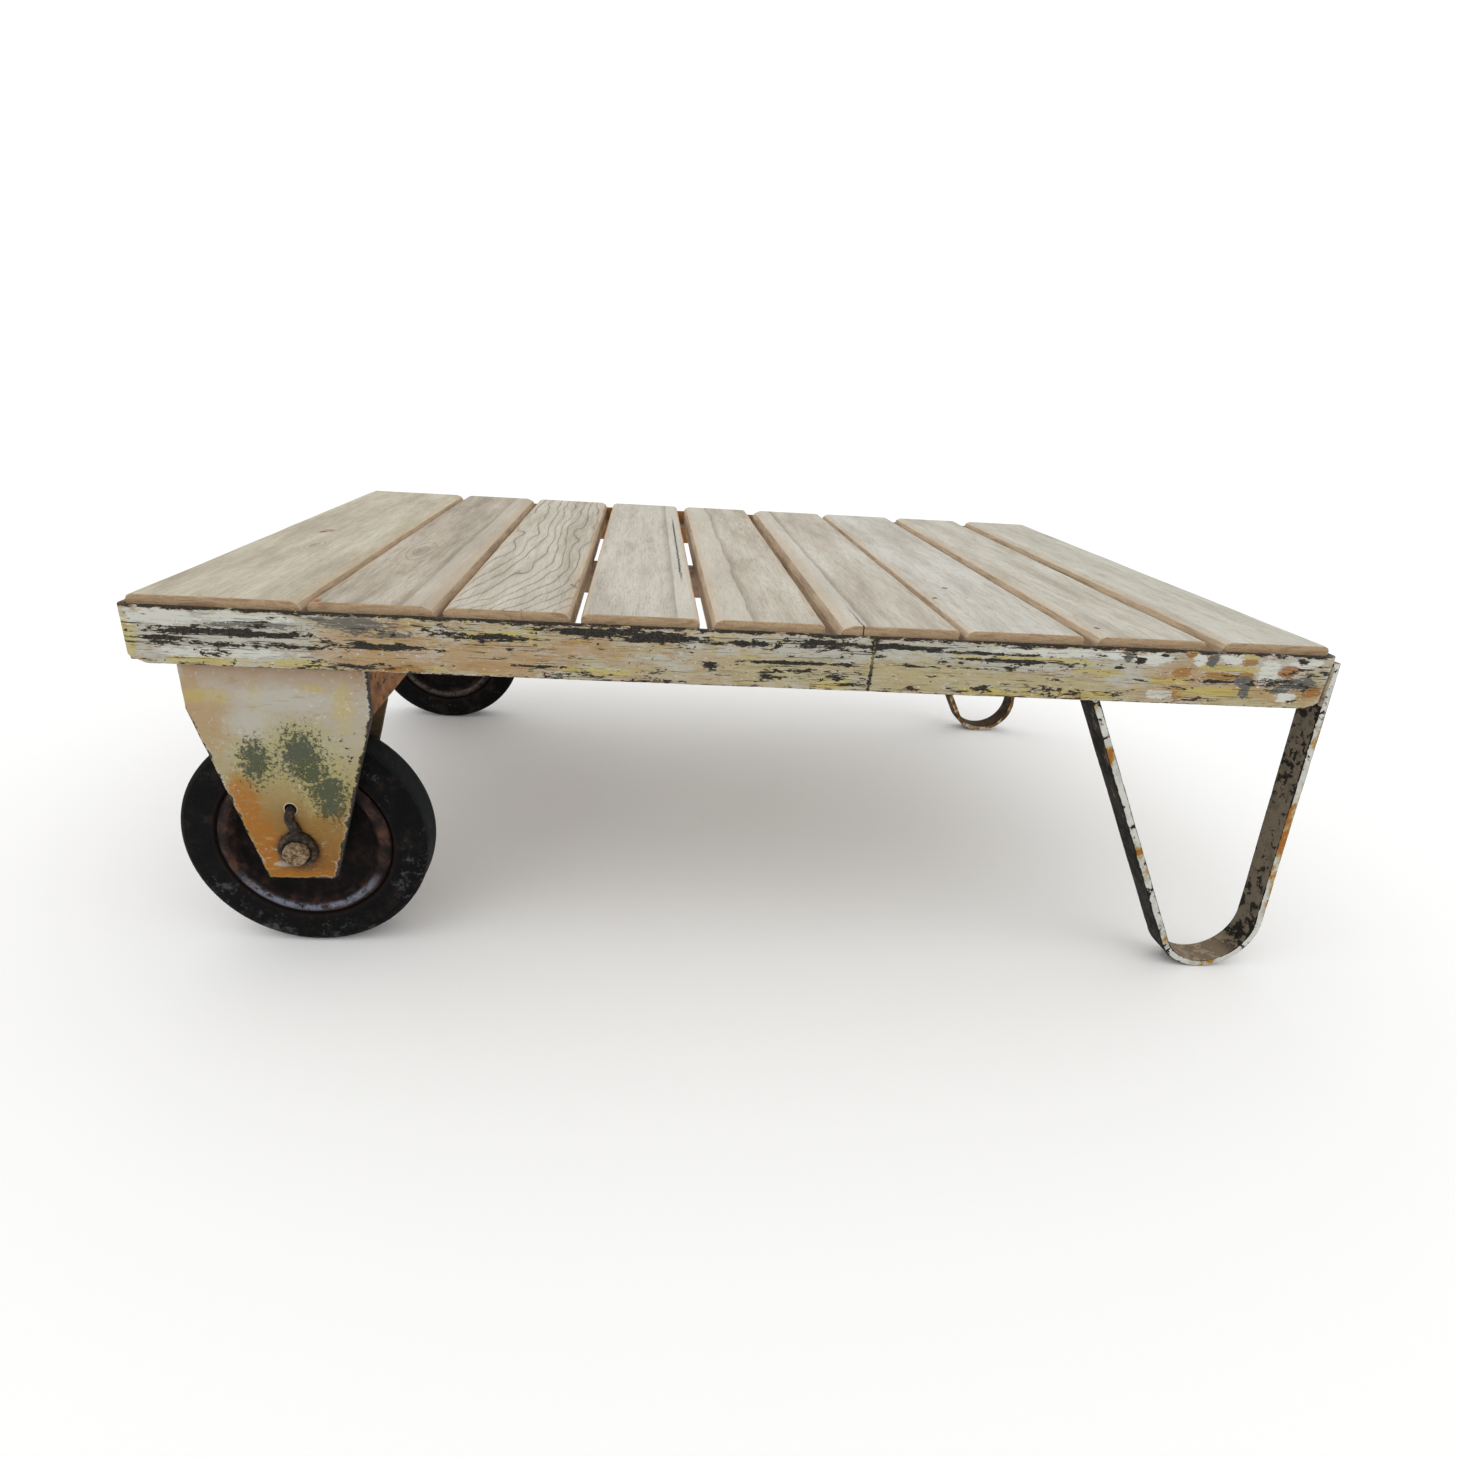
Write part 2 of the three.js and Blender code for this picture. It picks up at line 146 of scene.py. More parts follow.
def piece(name, bm, material, slot, body="trolley_frame", replaced=()):
    """Closes a bmesh into an object that rides on a body and may stand for CAD nodes."""
    bmesh.ops.remove_doubles(bm, verts=bm.verts, dist=1e-6)
    bmesh.ops.recalc_face_normals(bm, faces=bm.faces)
    made = add_object(name, bm, material)
    for polygon in made.data.polygons:
        polygon.use_smooth = True
    made.data.set_sharp_from_angle(angle=math.radians(35))
    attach(made, body)
    if replaced:
        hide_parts(*replaced)


def cover(node, bm, material, slot, body="trolley_frame"):
    """The piece that is seen in place of a CAD node."""
    piece(f"{node}_finish", bm, material, slot, body, [node])


def add_skin(bm, rings, closed=False):
    """Faces over a run of rings of points, closed on itself or capped at both ends."""
    grid = [[bm.verts.new(point) for point in ring] for ring in rings]
    for near, far in zip(grid, grid[1:] + grid[:1] if closed else grid[1:]):
        for index in range(len(near)):
            after = (index + 1) % len(near)
            bm.faces.new((near[index], near[after], far[after], far[index]))
    if not closed:
        bm.faces.new(grid[0])
        bm.faces.new(grid[-1])


def add_sweep(bm, section_at, stations, place, end_round=0.0, end_steps=3):
    """A section swept over rising stations, with its two ends rounded over."""
    run = [(s, 0.0) for s in stations]
    if end_round:
        first, last = stations[0], stations[-1]
        start = []
        for step in range(end_steps + 1):
            angle = math.pi / 2 * step / end_steps
            start.append((first + end_round * (1 - math.cos(angle)),
                          end_round * (1 - math.sin(angle))))
        inner = [pair for pair in run if first + end_round < pair[0] < last - end_round]
        run = start + inner + [(last - (s - first), amount) for s, amount in reversed(start)]
    add_skin(bm, [[place(s, point) for point in inset(section_at(s), amount)]
                  for s, amount in run])


def along_y(s, point):
    """Where a section's point lies when it is swept straight along Y."""
    return Vector((point.x, s, point.y))


def add_lathe(bm, section, centre, sides, wobble=0.0):
    """A closed section (radius, Y offset) turned about the Y axis through the centre."""
    rings = []
    for turned in round_points(sides):
        ring = []
        for radius, offset in section:
            lump = noise.noise(Vector((turned.x, turned.y, offset / 0.03)) * 3)
            across = turned * (radius + wobble * lump)
            ring.append(centre + Vector((across.x, offset, across.y)))
        rings.append(ring)
    add_skin(bm, rings, closed=True)


def add_plate(bm, loops, thickness, bevel, from_plan):
    """A flat plate with holes and rounded rims, from loops in its own plane."""
    curve = bpy.data.curves.new("plate_outline", "CURVE")
    curve.dimensions = "2D"
    curve.fill_mode = "BOTH"
    curve.extrude = thickness / 2 - bevel
    curve.bevel_depth = bevel
    curve.bevel_resolution = 2
    curve.offset = -bevel
    for loop in loops:
        spline = curve.splines.new("POLY")
        spline.points.add(len(loop) - 1)
        for point, (x, y) in zip(spline.points, loop):
            point.co = (x, y, 0, 1)
        spline.use_cyclic_u = True
    holder = bpy.data.objects.new("plate_outline", curve)
    bpy.context.scene.collection.objects.link(holder)
    graph = bpy.context.evaluated_depsgraph_get()
    mesh = bpy.data.meshes.new_from_object(holder.evaluated_get(graph))
    mesh.transform(from_plan)
    bm.from_mesh(mesh)
    bpy.data.meshes.remove(mesh)
    bpy.data.objects.remove(holder)
    bpy.data.curves.remove(curve)


def add_bead(bm, start, end, radius):
    """A weld bead: a rippled round run along a straight line."""
    ripple = 0.25
    pitch = 3.5 * MM
    length = (end - start).length
    count = max(4, round(length / (pitch / 4)))
    path = [start.lerp(end, step / count) for step in range(count + 1)]
    rings = []
    for step, here in enumerate(path):
        ahead = path[min(step + 1, count)] - path[max(step - 1, 0)]
        turn = ahead.to_track_quat("Z", "Y").to_matrix()
        size = radius * (1 - ripple * abs(math.sin(math.pi * length * step / count / pitch)))
        size *= 1 + 0.25 * noise.noise(here / 0.008)
        if step in (0, count):
            size *= 0.4
        rings.append([here + turn @ (point * size).to_3d() for point in round_points(8)])
    add_skin(bm, rings)


# ---- Material helpers ----

def linear(color):
    """A screen colour in six hex digits as the linear colour that a shader takes."""
    shares = [int(color[start:start + 2], 16) / 255 for start in (0, 2, 4)]
    return [share / 12.92 if share <= 0.04045 else ((share + 0.055) / 1.055) ** 2.4
            for share in shares] + [1.0]


class Value:
    """A number that a surface's nodes work out. Arithmetic on it adds Math nodes."""

    def __init__(self, surface, socket):
        self.surface = surface
        self.socket = socket

    def __add__(self, other):
        return self.surface.math("ADD", self, other)

    def __sub__(self, other):
        return self.surface.math("SUBTRACT", self, other)

    def __rsub__(self, other):
        return self.surface.math("SUBTRACT", other, self)

    def __mul__(self, other):
        return self.surface.math("MULTIPLY", self, other)

    def __abs__(self):
        return self.surface.math("ABSOLUTE", self)


class Surface:
    """Writes one material's nodes, with color as the colour so far. Sizes are in metres, in
    the piece's own coordinates."""

    def __init__(self, name, seed=0.0, color=None):
        self.material = bpy.data.materials.new(name)
        self.material.use_nodes = True
        self.material.node_tree.nodes.clear()
        self.seed = seed
        self.color = color
        source = self.node("TexCoord")
        self.place = source.outputs["Object"]
        self.facing = self.split(source.outputs["Normal"])
        self.x, self.y, self.z = self.split(self.place)

    def node(self, kind, inputs=(), **settings):
        """A new node with its settings made and its inputs, by name or number, fed."""
        tree = self.material.node_tree
        made = tree.nodes.new(f"ShaderNode{kind}")
        for name, value in settings.items():
            setattr(made, name, value)
        for key, value in dict(inputs).items():
            if isinstance(value, Value):
                value = value.socket
            if isinstance(value, bpy.types.NodeSocket):
                tree.links.new(value, made.inputs[key])
            else:
                made.inputs[key].default_value = linear(value) if isinstance(value, str) else value
        return made

    def value(self, kind, inputs, output=0, **settings):
        return Value(self, self.node(kind, inputs, **settings).outputs[output])

    def split(self, vector):
        return [Value(self, part) for part in self.node("SeparateXYZ", {0: vector}).outputs]

    def math(self, operation, first, second=0.0, clamp=False):
        return self.value("Math", {0: first, 1: second}, operation=operation, use_clamp=clamp)

    def wave(self, phase):
        """0 where the phase is a whole number and 1 halfway between."""
        return abs(self.math("SINE", phase * math.pi))

    def noise(self, size, detail, roughness, number, distortion=0.0):
        """0 to 1, in blotches about as large as the size, which is one number or X, Y and Z.
        A surface's noises with different numbers are different noises."""
        sizes = (size, size, size) if isinstance(size, float) else size
        shift = self.seed + number
        moved = self.node("Mapping", {"Vector": self.place, "Scale": [1 / s for s in sizes],
                                      "Location": (shift, shift * 1.7, shift * 2.3)})
        return self.value("TexNoise", {
            "Vector": moved.outputs[0], "Scale": 1, "Detail": detail, "Roughness": roughness,
            "Distortion": distortion}, "Fac")

    def step(self, value, low, high):
        """0 below low, 1 above high and smooth between; the other way round if low > high."""
        return self.value("MapRange", {"Value": value, "From Min": low, "From Max": high},
                          "Result", interpolation_type="SMOOTHSTEP")

    def ramp(self, value, places, colors):
        made = self.node("ValToRGB", {0: value})
        elements = made.color_ramp.elements
        while len(elements) < len(places):
            elements.new(0.5)
        for element, place, color in zip(elements, places, colors):
            element.position = place
            element.color = linear(color)
        return made.outputs["Color"]

    def mix(self, factor, first, second):
        return self.node("Mix", {0: factor, 6: first, 7: second}, data_type="RGBA").outputs[2]

    def blend(self, factor, first, second):
        return self.value("Mix", {0: factor, 2: first, 3: second})

    def coat(self, paint, mask):
        """Lays a paint over the colour so far, where the mask is 1."""
        self.color = self.mix(mask, self.color, paint)

    def wash(self, paint, value, low, high, amount=1.0):
        """A coat where the value has passed from low to high, up to the amount."""
        self.coat(paint, self.step(value, low, high) * amount)

    def largest(self, *values):
        return reduce(lambda first, second: self.math("MAXIMUM", first, second), values)

    def smallest(self, *values):
        return reduce(lambda first, second: self.math("MINIMUM", first, second), values)

    def nearest(self, spots, axes=(0, 2)):
        """0 at the middle of the nearest ellipse (across, up, half width, half height) and 1
        on its outline. Axes are the two that the ellipses lie in: 0 is X, 1 is Y, 2 is Z."""
        distances = []
        for across, up, half_across, half_up in spots:
            scale, shift = Vector(), Vector()
            for axis, middle, half in zip(axes, (across, up), (half_across, half_up)):
                scale[axis] = 1 / half
                shift[axis] = -middle / half
            offset = self.node("VectorMath", {0: self.place, 1: scale, 2: shift},
                               operation="MULTIPLY_ADD")
            distances.append(self.value("VectorMath", {0: offset.outputs[0]}, "Value",
                                        operation="LENGTH"))
        return self.smallest(*distances)

    def close_to(self, spots, reach):
        """Rises from 0 at the reach, counted in half sizes, towards the nearest ellipse."""
        return self.math("SUBTRACT", reach, self.nearest(spots), clamp=True)

    def patches(self, spots, fray, amount, axes=(0, 2), blur=0.08):
        """1 inside the ellipses and 0 outside, with borders that the fray noise breaks up."""
        border = 1 + amount / 2
        return self.step(fray * amount + self.nearest(spots, axes), border + blur, border - blur)

    def inside(self, start, end):
        """How far a place lies to the left of the line from start to end, in X and Z."""
        along = (Vector(end) - Vector(start)).normalized()
        return self.z * along.x - self.x * along.y + (start[0] * along.y - start[1] * along.x)

    def finish(self, roughness, height=None, depth=0.0005, metallic=0.0, specular=0.5):
        """The material, with the height as bumps that are as high as the depth."""
        inputs = {"Base Color": self.color, "Roughness": roughness, "Metallic": metallic,
                  "Specular IOR Level": specular}
        if height is not None:
            bump = self.node("Bump", {"Height": height, "Distance": depth})
            inputs["Normal"] = bump.outputs[0]
        shader = self.node("BsdfPrincipled", inputs)
        self.node("OutputMaterial", {"Surface": shader.outputs[0]})
        return self.material


def placed(spots, left, bottom, way=1):
    """Ellipses in millimetres from a place, as metres in the frame; way -1 mirrors them."""
    return [(left + way * x * MM, bottom + z * MM, half_x * MM, half_z * MM)
            for x, z, half_x, half_z in spots]


# Paint colours, from the top coats down to the bare steel
WHITE = "c4c4bc"
STONE = "aaa89e"
CREAM = "a69a7e"
BEIGE = "9d896e"
YELLOW = "ae9e54"
OCHRE = "9e7846"
KHAKI = "a49974"
DARK_OCHRE = "926a32"
RAW_SIENNA = "8c5c26"
ORANGE = "985e22"
SLATE = "545552"
CHARCOAL = "2e2b27"
BLACK_SCALE = "1a1816"
RUST = "603e26"
DIRT = "584c3c"


# ---- Rail paint ----

rail_low, rail_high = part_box("front_rail")
LEFT, RIGHT = rail_low.x, rail_high.x
RAIL_BOTTOM = rail_low.z
RAIL_TOP = rail_high.z

# Coats on the front rail, the later ones on top: the colour, how solid it is, how far its
# border frays, and ellipses (along, up, half length, half height) in millimetres from the
# rail's left foot
FRONT_RAIL_COATS = [
    (STONE, 0.9, 4.0, [
        (85, 28, 110, 40), (800, 42, 190, 16), (640, 40, 70, 14), (1080, 30, 60, 30)]),
    (KHAKI, 0.8, 4.0, [(735, 18, 60, 18), (850, 16, 70, 8), (600, 20, 50, 14)]),
    (KHAKI, 0.9, 2.8, [(1062, 10, 48, 12), (1120, 20, 16, 22)]),
    (OCHRE, 0.55, 4.0, [
        (230, 24, 60, 24), (330, 18, 60, 18), (1000, 26, 40, 20), (1060, 20, 40, 12),
        (1110, 16, 30, 14), (420, 30, 40, 8)]),
    (YELLOW, 0.75, 4.0, [
        (6, 28, 9, 20), (75, 5, 34, 5), (150, 5, 24, 4), (340, 40, 26, 5), (430, 9, 30, 4),
        (650, 6, 18, 5), (845, 39, 66, 3), (905, 30, 26, 3), (810, 6, 30, 4), (979, 23, 22, 3),
        (900, 6, 40, 4)]),
    (WHITE, 0.8, 4.0, [
        (40, 44, 36, 7), (110, 46, 40, 5), (90, 13, 60, 5), (870, 47, 80, 4), (974, 10, 15, 4)]),
    (DARK_OCHRE, 0.9, 2.8, [
        (250, 4, 26, 3), (990, 32, 9, 5), (1030, 31, 16, 4), (1055, 33, 7, 3), (991, 12, 5, 8),
        (1054, 45, 9, 4), (929, 50, 4, 3)]),
    (YELLOW, 0.8, 2.8, [(1039, 38, 33, 3), (1052, 51, 11, 2), (1027, 14, 34, 5)]),
    (SLATE, 0.85, 4.0, [(205, 45, 36, 8), (240, 37, 22, 4), (120, 40, 40, 3)]),
    (SLATE, 0.95, 2.8, [
        (1017, 47, 7, 7), (1054, 25, 10, 5), (1057, 15, 5, 7), (1111, 25, 20, 8),
        (1094, 18, 9, 4), (933, 47, 5, 6)]),
    (WHITE, 0.95, 2.8, [
        (1077, 36, 10, 15), (1034, 48, 11, 6), (1004, 47, 7, 6), (1111, 46, 16, 5),
        (1102, 11, 10, 5), (958, 45, 18, 6), (919, 47, 9, 4)]),
    (RAW_SIENNA, 0.9, 2.8, [(1096, 37, 11, 6), (1126, 18, 11, 6), (994, 51, 5, 3)]),
]
# Where streaks of bare steel gather on it
FRONT_RAIL_BARE = [
    (70, 33, 60, 5), (130, 32, 50, 4), (110, 21, 100, 4), (40, 25, 30, 3), (250, 24, 70, 3),
    (330, 38, 45, 4), (420, 46, 50, 5), (490, 44, 60, 6), (560, 43, 60, 5), (625, 46, 50, 6),
    (710, 45, 50, 3), (800, 43, 60, 2), (830, 37, 70, 2), (600, 26, 60, 2), (740, 28, 60, 2),
    (533, 20, 11, 6), (585, 13, 9, 5), (752, 33, 8, 4), (771, 5, 17, 5), (792, 9, 20, 4),
    (730, 6, 14, 3), (946, 42, 7, 3), (1023, 25, 24, 2), (968, 49, 6, 2), (1107, 48, 6, 5),
    (1085, 53, 11, 3), (926, 34, 11, 2), (950, 23, 12, 2), (1108, 8, 12, 4), (380, 12, 40, 2),
]
REAR_RAIL_BARE = [(x, 40 - 16 * (x % 3), 80, 5) for x in (100, 292, 471, 698, 884, 1045)]
FRONT_RAIL_WELD = 686


def rail_paint(name, seed, coats=(), bare_spots=(), weld=None, plain=None):
    """Many thin coats, scraped along the rail down to dark steel. Plain is the axis, sign and
    colour of the faces that kept one even coat."""
    s = Surface(name, seed)
    grit = s.noise((0.0025, 0.0025, 0.002), 4, 0.7, 0)
    fray = s.noise((0.014, 0.014, 0.0045), 7, 0.74, 1)
    blotch = s.noise((0.05, 0.05, 0.016), 5, 0.68, 2)
    s.color = s.ramp(blotch, (0.36, 0.50, 0.62), (BEIGE, CREAM, STONE))
    tint = s.noise((0.035, 0.035, 0.007), 6, 0.7, 5)
    s.wash(YELLOW, tint, 0.585, 0.625, 0.7)
    s.wash(OCHRE, tint, 0.415, 0.375, 0.6)
    for paint, solid, fringe, spots in coats:
        mask = s.patches(placed(spots, LEFT, RAIL_BOTTOM), fray, fringe)
        s.coat(paint, mask * solid)
    film = s.noise((0.022, 0.022, 0.0013), 5, 0.7, 6)
    s.wash(DIRT, film, 0.53, 0.66, 0.5)
    s.wash(WHITE, film, 0.46, 0.36, 0.22)
    fleck = s.noise((0.0045, 0.0045, 0.0024), 3, 0.6, 7)
    s.wash(WHITE, fleck, 0.64, 0.68, 0.75)

    streak = s.noise((0.018, 0.018, 0.0044), 9, 0.74, 3)
    chip = s.noise((0.009, 0.009, 0.0055), 6, 0.68, 4)
    line = s.noise((0.05, 0.05, 0.0011), 4, 0.6, 9)
    crowd = s.noise((0.12, 0.12, 0.02), 3, 0.5, 8)
    gather = crowd * 0.45 - 0.215
    if bare_spots:
        gather += s.close_to(placed(bare_spots, LEFT, RAIL_BOTTOM), 1.25) * 0.19
    worn = s.largest(streak + gather - 0.612, chip + gather * 0.5 - 0.655,
                     line + gather * 0.5 - 0.645)
    if weld:
        off = abs(s.x - (LEFT + weld * MM))
        worn = s.largest(worn, (fray * 0.016 - 0.0064 - off) * 40)
    ragged = fray * 0.017 - 0.0067
    top_edge = ragged - (RAIL_TOP - s.z)
    low_edge = ragged - 0.0016 - (s.z - RAIL_BOTTOM)
    worn = s.largest(worn, s.largest(top_edge, low_edge) * 12)
    bare = s.step(worn, 0.0, 0.008)
    layers = s.ramp(s.noise((0.012, 0.012, 0.004), 3, 0.6, 10), (0.42, 0.50, 0.58),
                    (YELLOW, WHITE, ORANGE))
    s.wash(layers, worn, -0.022, -0.006, 0.5)
    s.coat(s.ramp(grit, (0.36, 0.54, 0.74), (BLACK_SCALE, CHARCOAL, DIRT)), bare)
    if plain:
        axis, sign, paint = plain
        dusty = s.mix(s.step(chip, 0.56, 0.60) * 0.8, paint, DIRT)
        s.wash(dusty, s.facing[axis] * sign, 0.5, 0.75, 0.9)
    return s.finish(s.blend(bare, 0.62, 0.55), grit * 0.25 - bare, specular=0.15)


# ---- Fork paint ----

# On the front outer cheek, in millimetres from the axle's X and from the ground
CHEEK_GREEN = [(-29, 223, 12, 18), (15, 231, 17, 22), (24, 212, 12, 12), (36, 192, 16, 15),
               (38, 176, 11, 12)]
CHEEK_HALO = [(-28, 224, 22, 22), (12, 236, 32, 32), (36, 200, 24, 30)]
CHEEK_COATS = [
    ("a08256", 0.7, [(-78, 262, 34, 34), (-92, 296, 20, 22)]),
    ("986018", 0.85, [(-46, 172, 14, 40), (-32, 124, 14, 34), (4, 94, 40, 6)]),
    (YELLOW, 0.5, [(-74, 290, 34, 7), (-20, 290, 8, 12), (34, 300, 14, 5), (60, 284, 10, 22)]),
    ("aca89e", 0.75, [(-24, 262, 26, 16), (-94, 312, 12, 10), (-16, 107, 9, 3), (6, 288, 40, 12)]),
]
CHEEK_PEPPER = [(56, 232, 14, 38), (34, 160, 16, 40), (0, 214, 50, 22), (-4, 222, 8, 4)]
# How far in from its edges it is bare, in metres, from the foot on anticlockwise
CHEEK_BARE_EDGES = (0.0012, 0.0026, 0.0022, 0, 0, 0.0014)


def fork_paint(name, seed, axle, side, outline, hole):
    """Ochre below and chalky grey above, with dark green flaked patches and bare edges; side
    is -1 in front, outline is the cheek's corners and hole is where its keeper goes in."""
    def on_cheek(spots):
        return placed(spots, axle.x, 0, -side)

    s = Surface(name, seed)
    grit = s.noise(0.0025, 4, 0.7, 0)
    fray = s.noise(0.011, 8, 0.80, 1)
    cloud = s.noise(0.045, 5, 0.62, 2)
    s.color = s.ramp(cloud * 0.20 + (s.z * 4.2 - 0.49), (0.05, 0.26, 0.46, 0.62, 0.84, 0.98), (
        "805420", "886836", "96885e", "a49c86", "a69d8e", "967c62"))
    for paint, solid, spots in CHEEK_COATS:
        s.coat(paint, s.patches(on_cheek(spots), fray, 3.2, blur=0.45) * solid)
    chalk = s.noise((0.005, 0.005, 0.004), 5, 0.72, 3)
    s.coat(WHITE, s.step(chalk, 0.57, 0.66) * s.step(cloud, 0.44, 0.62) * 0.7)
    smear = s.noise((0.022, 0.022, 0.006), 5, 0.7, 4)
    s.wash("b0965c", smear, 0.58, 0.68, 0.45)
    s.wash("967a56", smear, 0.44, 0.34, 0.4)
    s.coat("9c9662", s.patches(on_cheek(CHEEK_HALO), fray, 4.2, blur=0.5) * 0.7)
    fine = s.noise(0.0045, 8, 0.84, 5)
    dark = s.patches(on_cheek(CHEEK_GREEN), fine, 8.5, blur=0.12)
    s.coat(s.ramp(cloud, (0.4, 0.6), ("404832", "444a40")), dark * 0.95)

    chip = s.noise((0.0055, 0.0055, 0.0045), 6, 0.70, 6)
    flecked = chip + s.close_to(on_cheek(CHEEK_PEPPER), 1.3) * 0.105 - 0.69
    ends = outline[1:] + outline[:1]
    gaps = [s.inside(start, end) - width
            for start, end, width in zip(outline, ends, CHEEK_BARE_EDGES) if width]
    border = (fray - 0.5) * 0.02 - s.smallest(*gaps)
    worn = s.largest(flecked, border * 12)
    bare = s.step(worn, 0.0, 0.01)
    s.wash(s.ramp(cloud, (0.45, 0.55), (YELLOW, WHITE)), worn, -0.02, -0.004, 0.4)
    # A cream ring round the keeper hole is a painted highlight; the hole's very edge is coated
    # black
    rim = s.nearest([(hole[0], hole[1], 7 * MM, 7.6 * MM)])
    s.wash("beb69e", rim, 1.06, 0.94, 0.7)
    s.wash(BLACK_SCALE, rim, 0.86, 0.80)
    oil = s.patches([(axle.x, axle.z - 4 * MM, 21 * MM, 21 * MM)], fray, 1.6, blur=0.3)
    s.coat("3a281a", oil * 0.7)
    s.coat(s.ramp(grit, (0.36, 0.55, 0.74), (BLACK_SCALE, "3a362f", "544434")), bare)
    gone = s.largest(bare, dark * 0.8)
    return s.finish(s.blend(gone, 0.55, 0.5), grit * 0.25 - gone, specular=0.2)


# ---- Leg paint ----

# Per leg: edge colours; broad-face colours, darkened partly as painted shade; the slanting arm's
# outer-face colours, painted shade; and the foot colour
NEAR_LEG_COLORS = {
    "edge": (WHITE, "b2b0a8", "a28a50", "96602c"),
    "face": ("5c5446", "72685a", "645a4c"),
    "outside": ("141310", "1c1a16", "5c5444"),
    "foot": "b09e84",
}
FAR_LEG_COLORS = {
    "edge": ("463422", "705230", "967442", "beb2a4"),
    "face": ("261e16", "382b1f", "604a32"),
    "outside": ("221c16", "3c2c1e", "684c2c"),
    "foot": "463626",
}


def leg_paint(name, seed, colors, centre_x):
    """The strap's edges keep bright paint; its broad faces are chipped and darker, partly dull
    paint and partly painted shade, and on the slanting arm's outer faces nearly black with painted
    shade."""
    s = Surface(name, seed)
    grit = s.noise(0.0025, 4, 0.7, 0)
    blotch = s.noise((0.022, 0.022, 0.03), 6, 0.68, 1)
    zone = s.noise((0.3, 0.3, 0.09), 2, 0.5, 3)
    side = abs(s.facing[1])
    is_edge = s.step(side, 0.70, 0.82)
    # Broad faces: dull paint darkened partly as painted shade; the slanting arm's outer faces:
    # painted shade, nearly black
    outside = s.step(s.x, centre_x + 0.004, centre_x - 0.004) * s.step(s.facing[0], -0.25, -0.4)
    s.color = s.ramp(blotch, (0.36, 0.5, 0.64), colors["face"])
    s.coat(s.ramp(blotch, (0.45, 0.56, 0.60), colors["outside"]), outside)
    zoned = (zone - 0.5) * 0.7 + blotch
    s.coat(s.ramp(zoned, (0.46, 0.55, 0.60, 0.65), colors["edge"]), is_edge)
    chip = s.noise(0.012, 7, 0.70, 2)
    arris = s.step(side, 0.12, 0.3) * s.step(side, 0.985, 0.93)
    worn = chip - (zone - 0.5) * 0.35 - s.blend(is_edge, 0.515, 0.595) + arris * 0.12
    underfoot = s.step(s.facing[2], 0.45, 0.85)
    s.coat(colors["foot"], underfoot * 0.6)
    bare = s.step(worn, 0.0, 0.01) * (1 - underfoot * 0.8)
    s.wash(DIRT, worn, -0.022, 0.0, 0.35)
    s.coat(s.ramp(grit, (0.36, 0.58, 0.8), (BLACK_SCALE, "26231e", DIRT)), bare)
    return s.finish(s.blend(bare, 0.65, 0.55), grit * 0.25 - bare, specular=0.06)


def dark_paint(name, seed, tones, bare_at=0.60):
    """Dull paint gone to rust, for pieces under the deck."""
    s = Surface(name, seed)
    grit = s.noise(0.003, 5, 0.7, 0)
    blotch = s.noise((0.04, 0.04, 0.03), 5, 0.65, 1)
    s.color = s.ramp(blotch, (0.35, 0.52, 0.68), tones)
    chip = s.noise((0.012, 0.012, 0.009), 7, 0.68, 2)
    bare = s.step(chip, bare_at, bare_at + 0.012)
    s.coat(s.ramp(grit, (0.35, 0.7), (BLACK_SCALE, RUST)), bare)
    return s.finish(0.65, grit * 0.3 - bare, 0.0004, specular=0.25)


# ---- Oak ----

GRAIN_GREY = "8a806c"


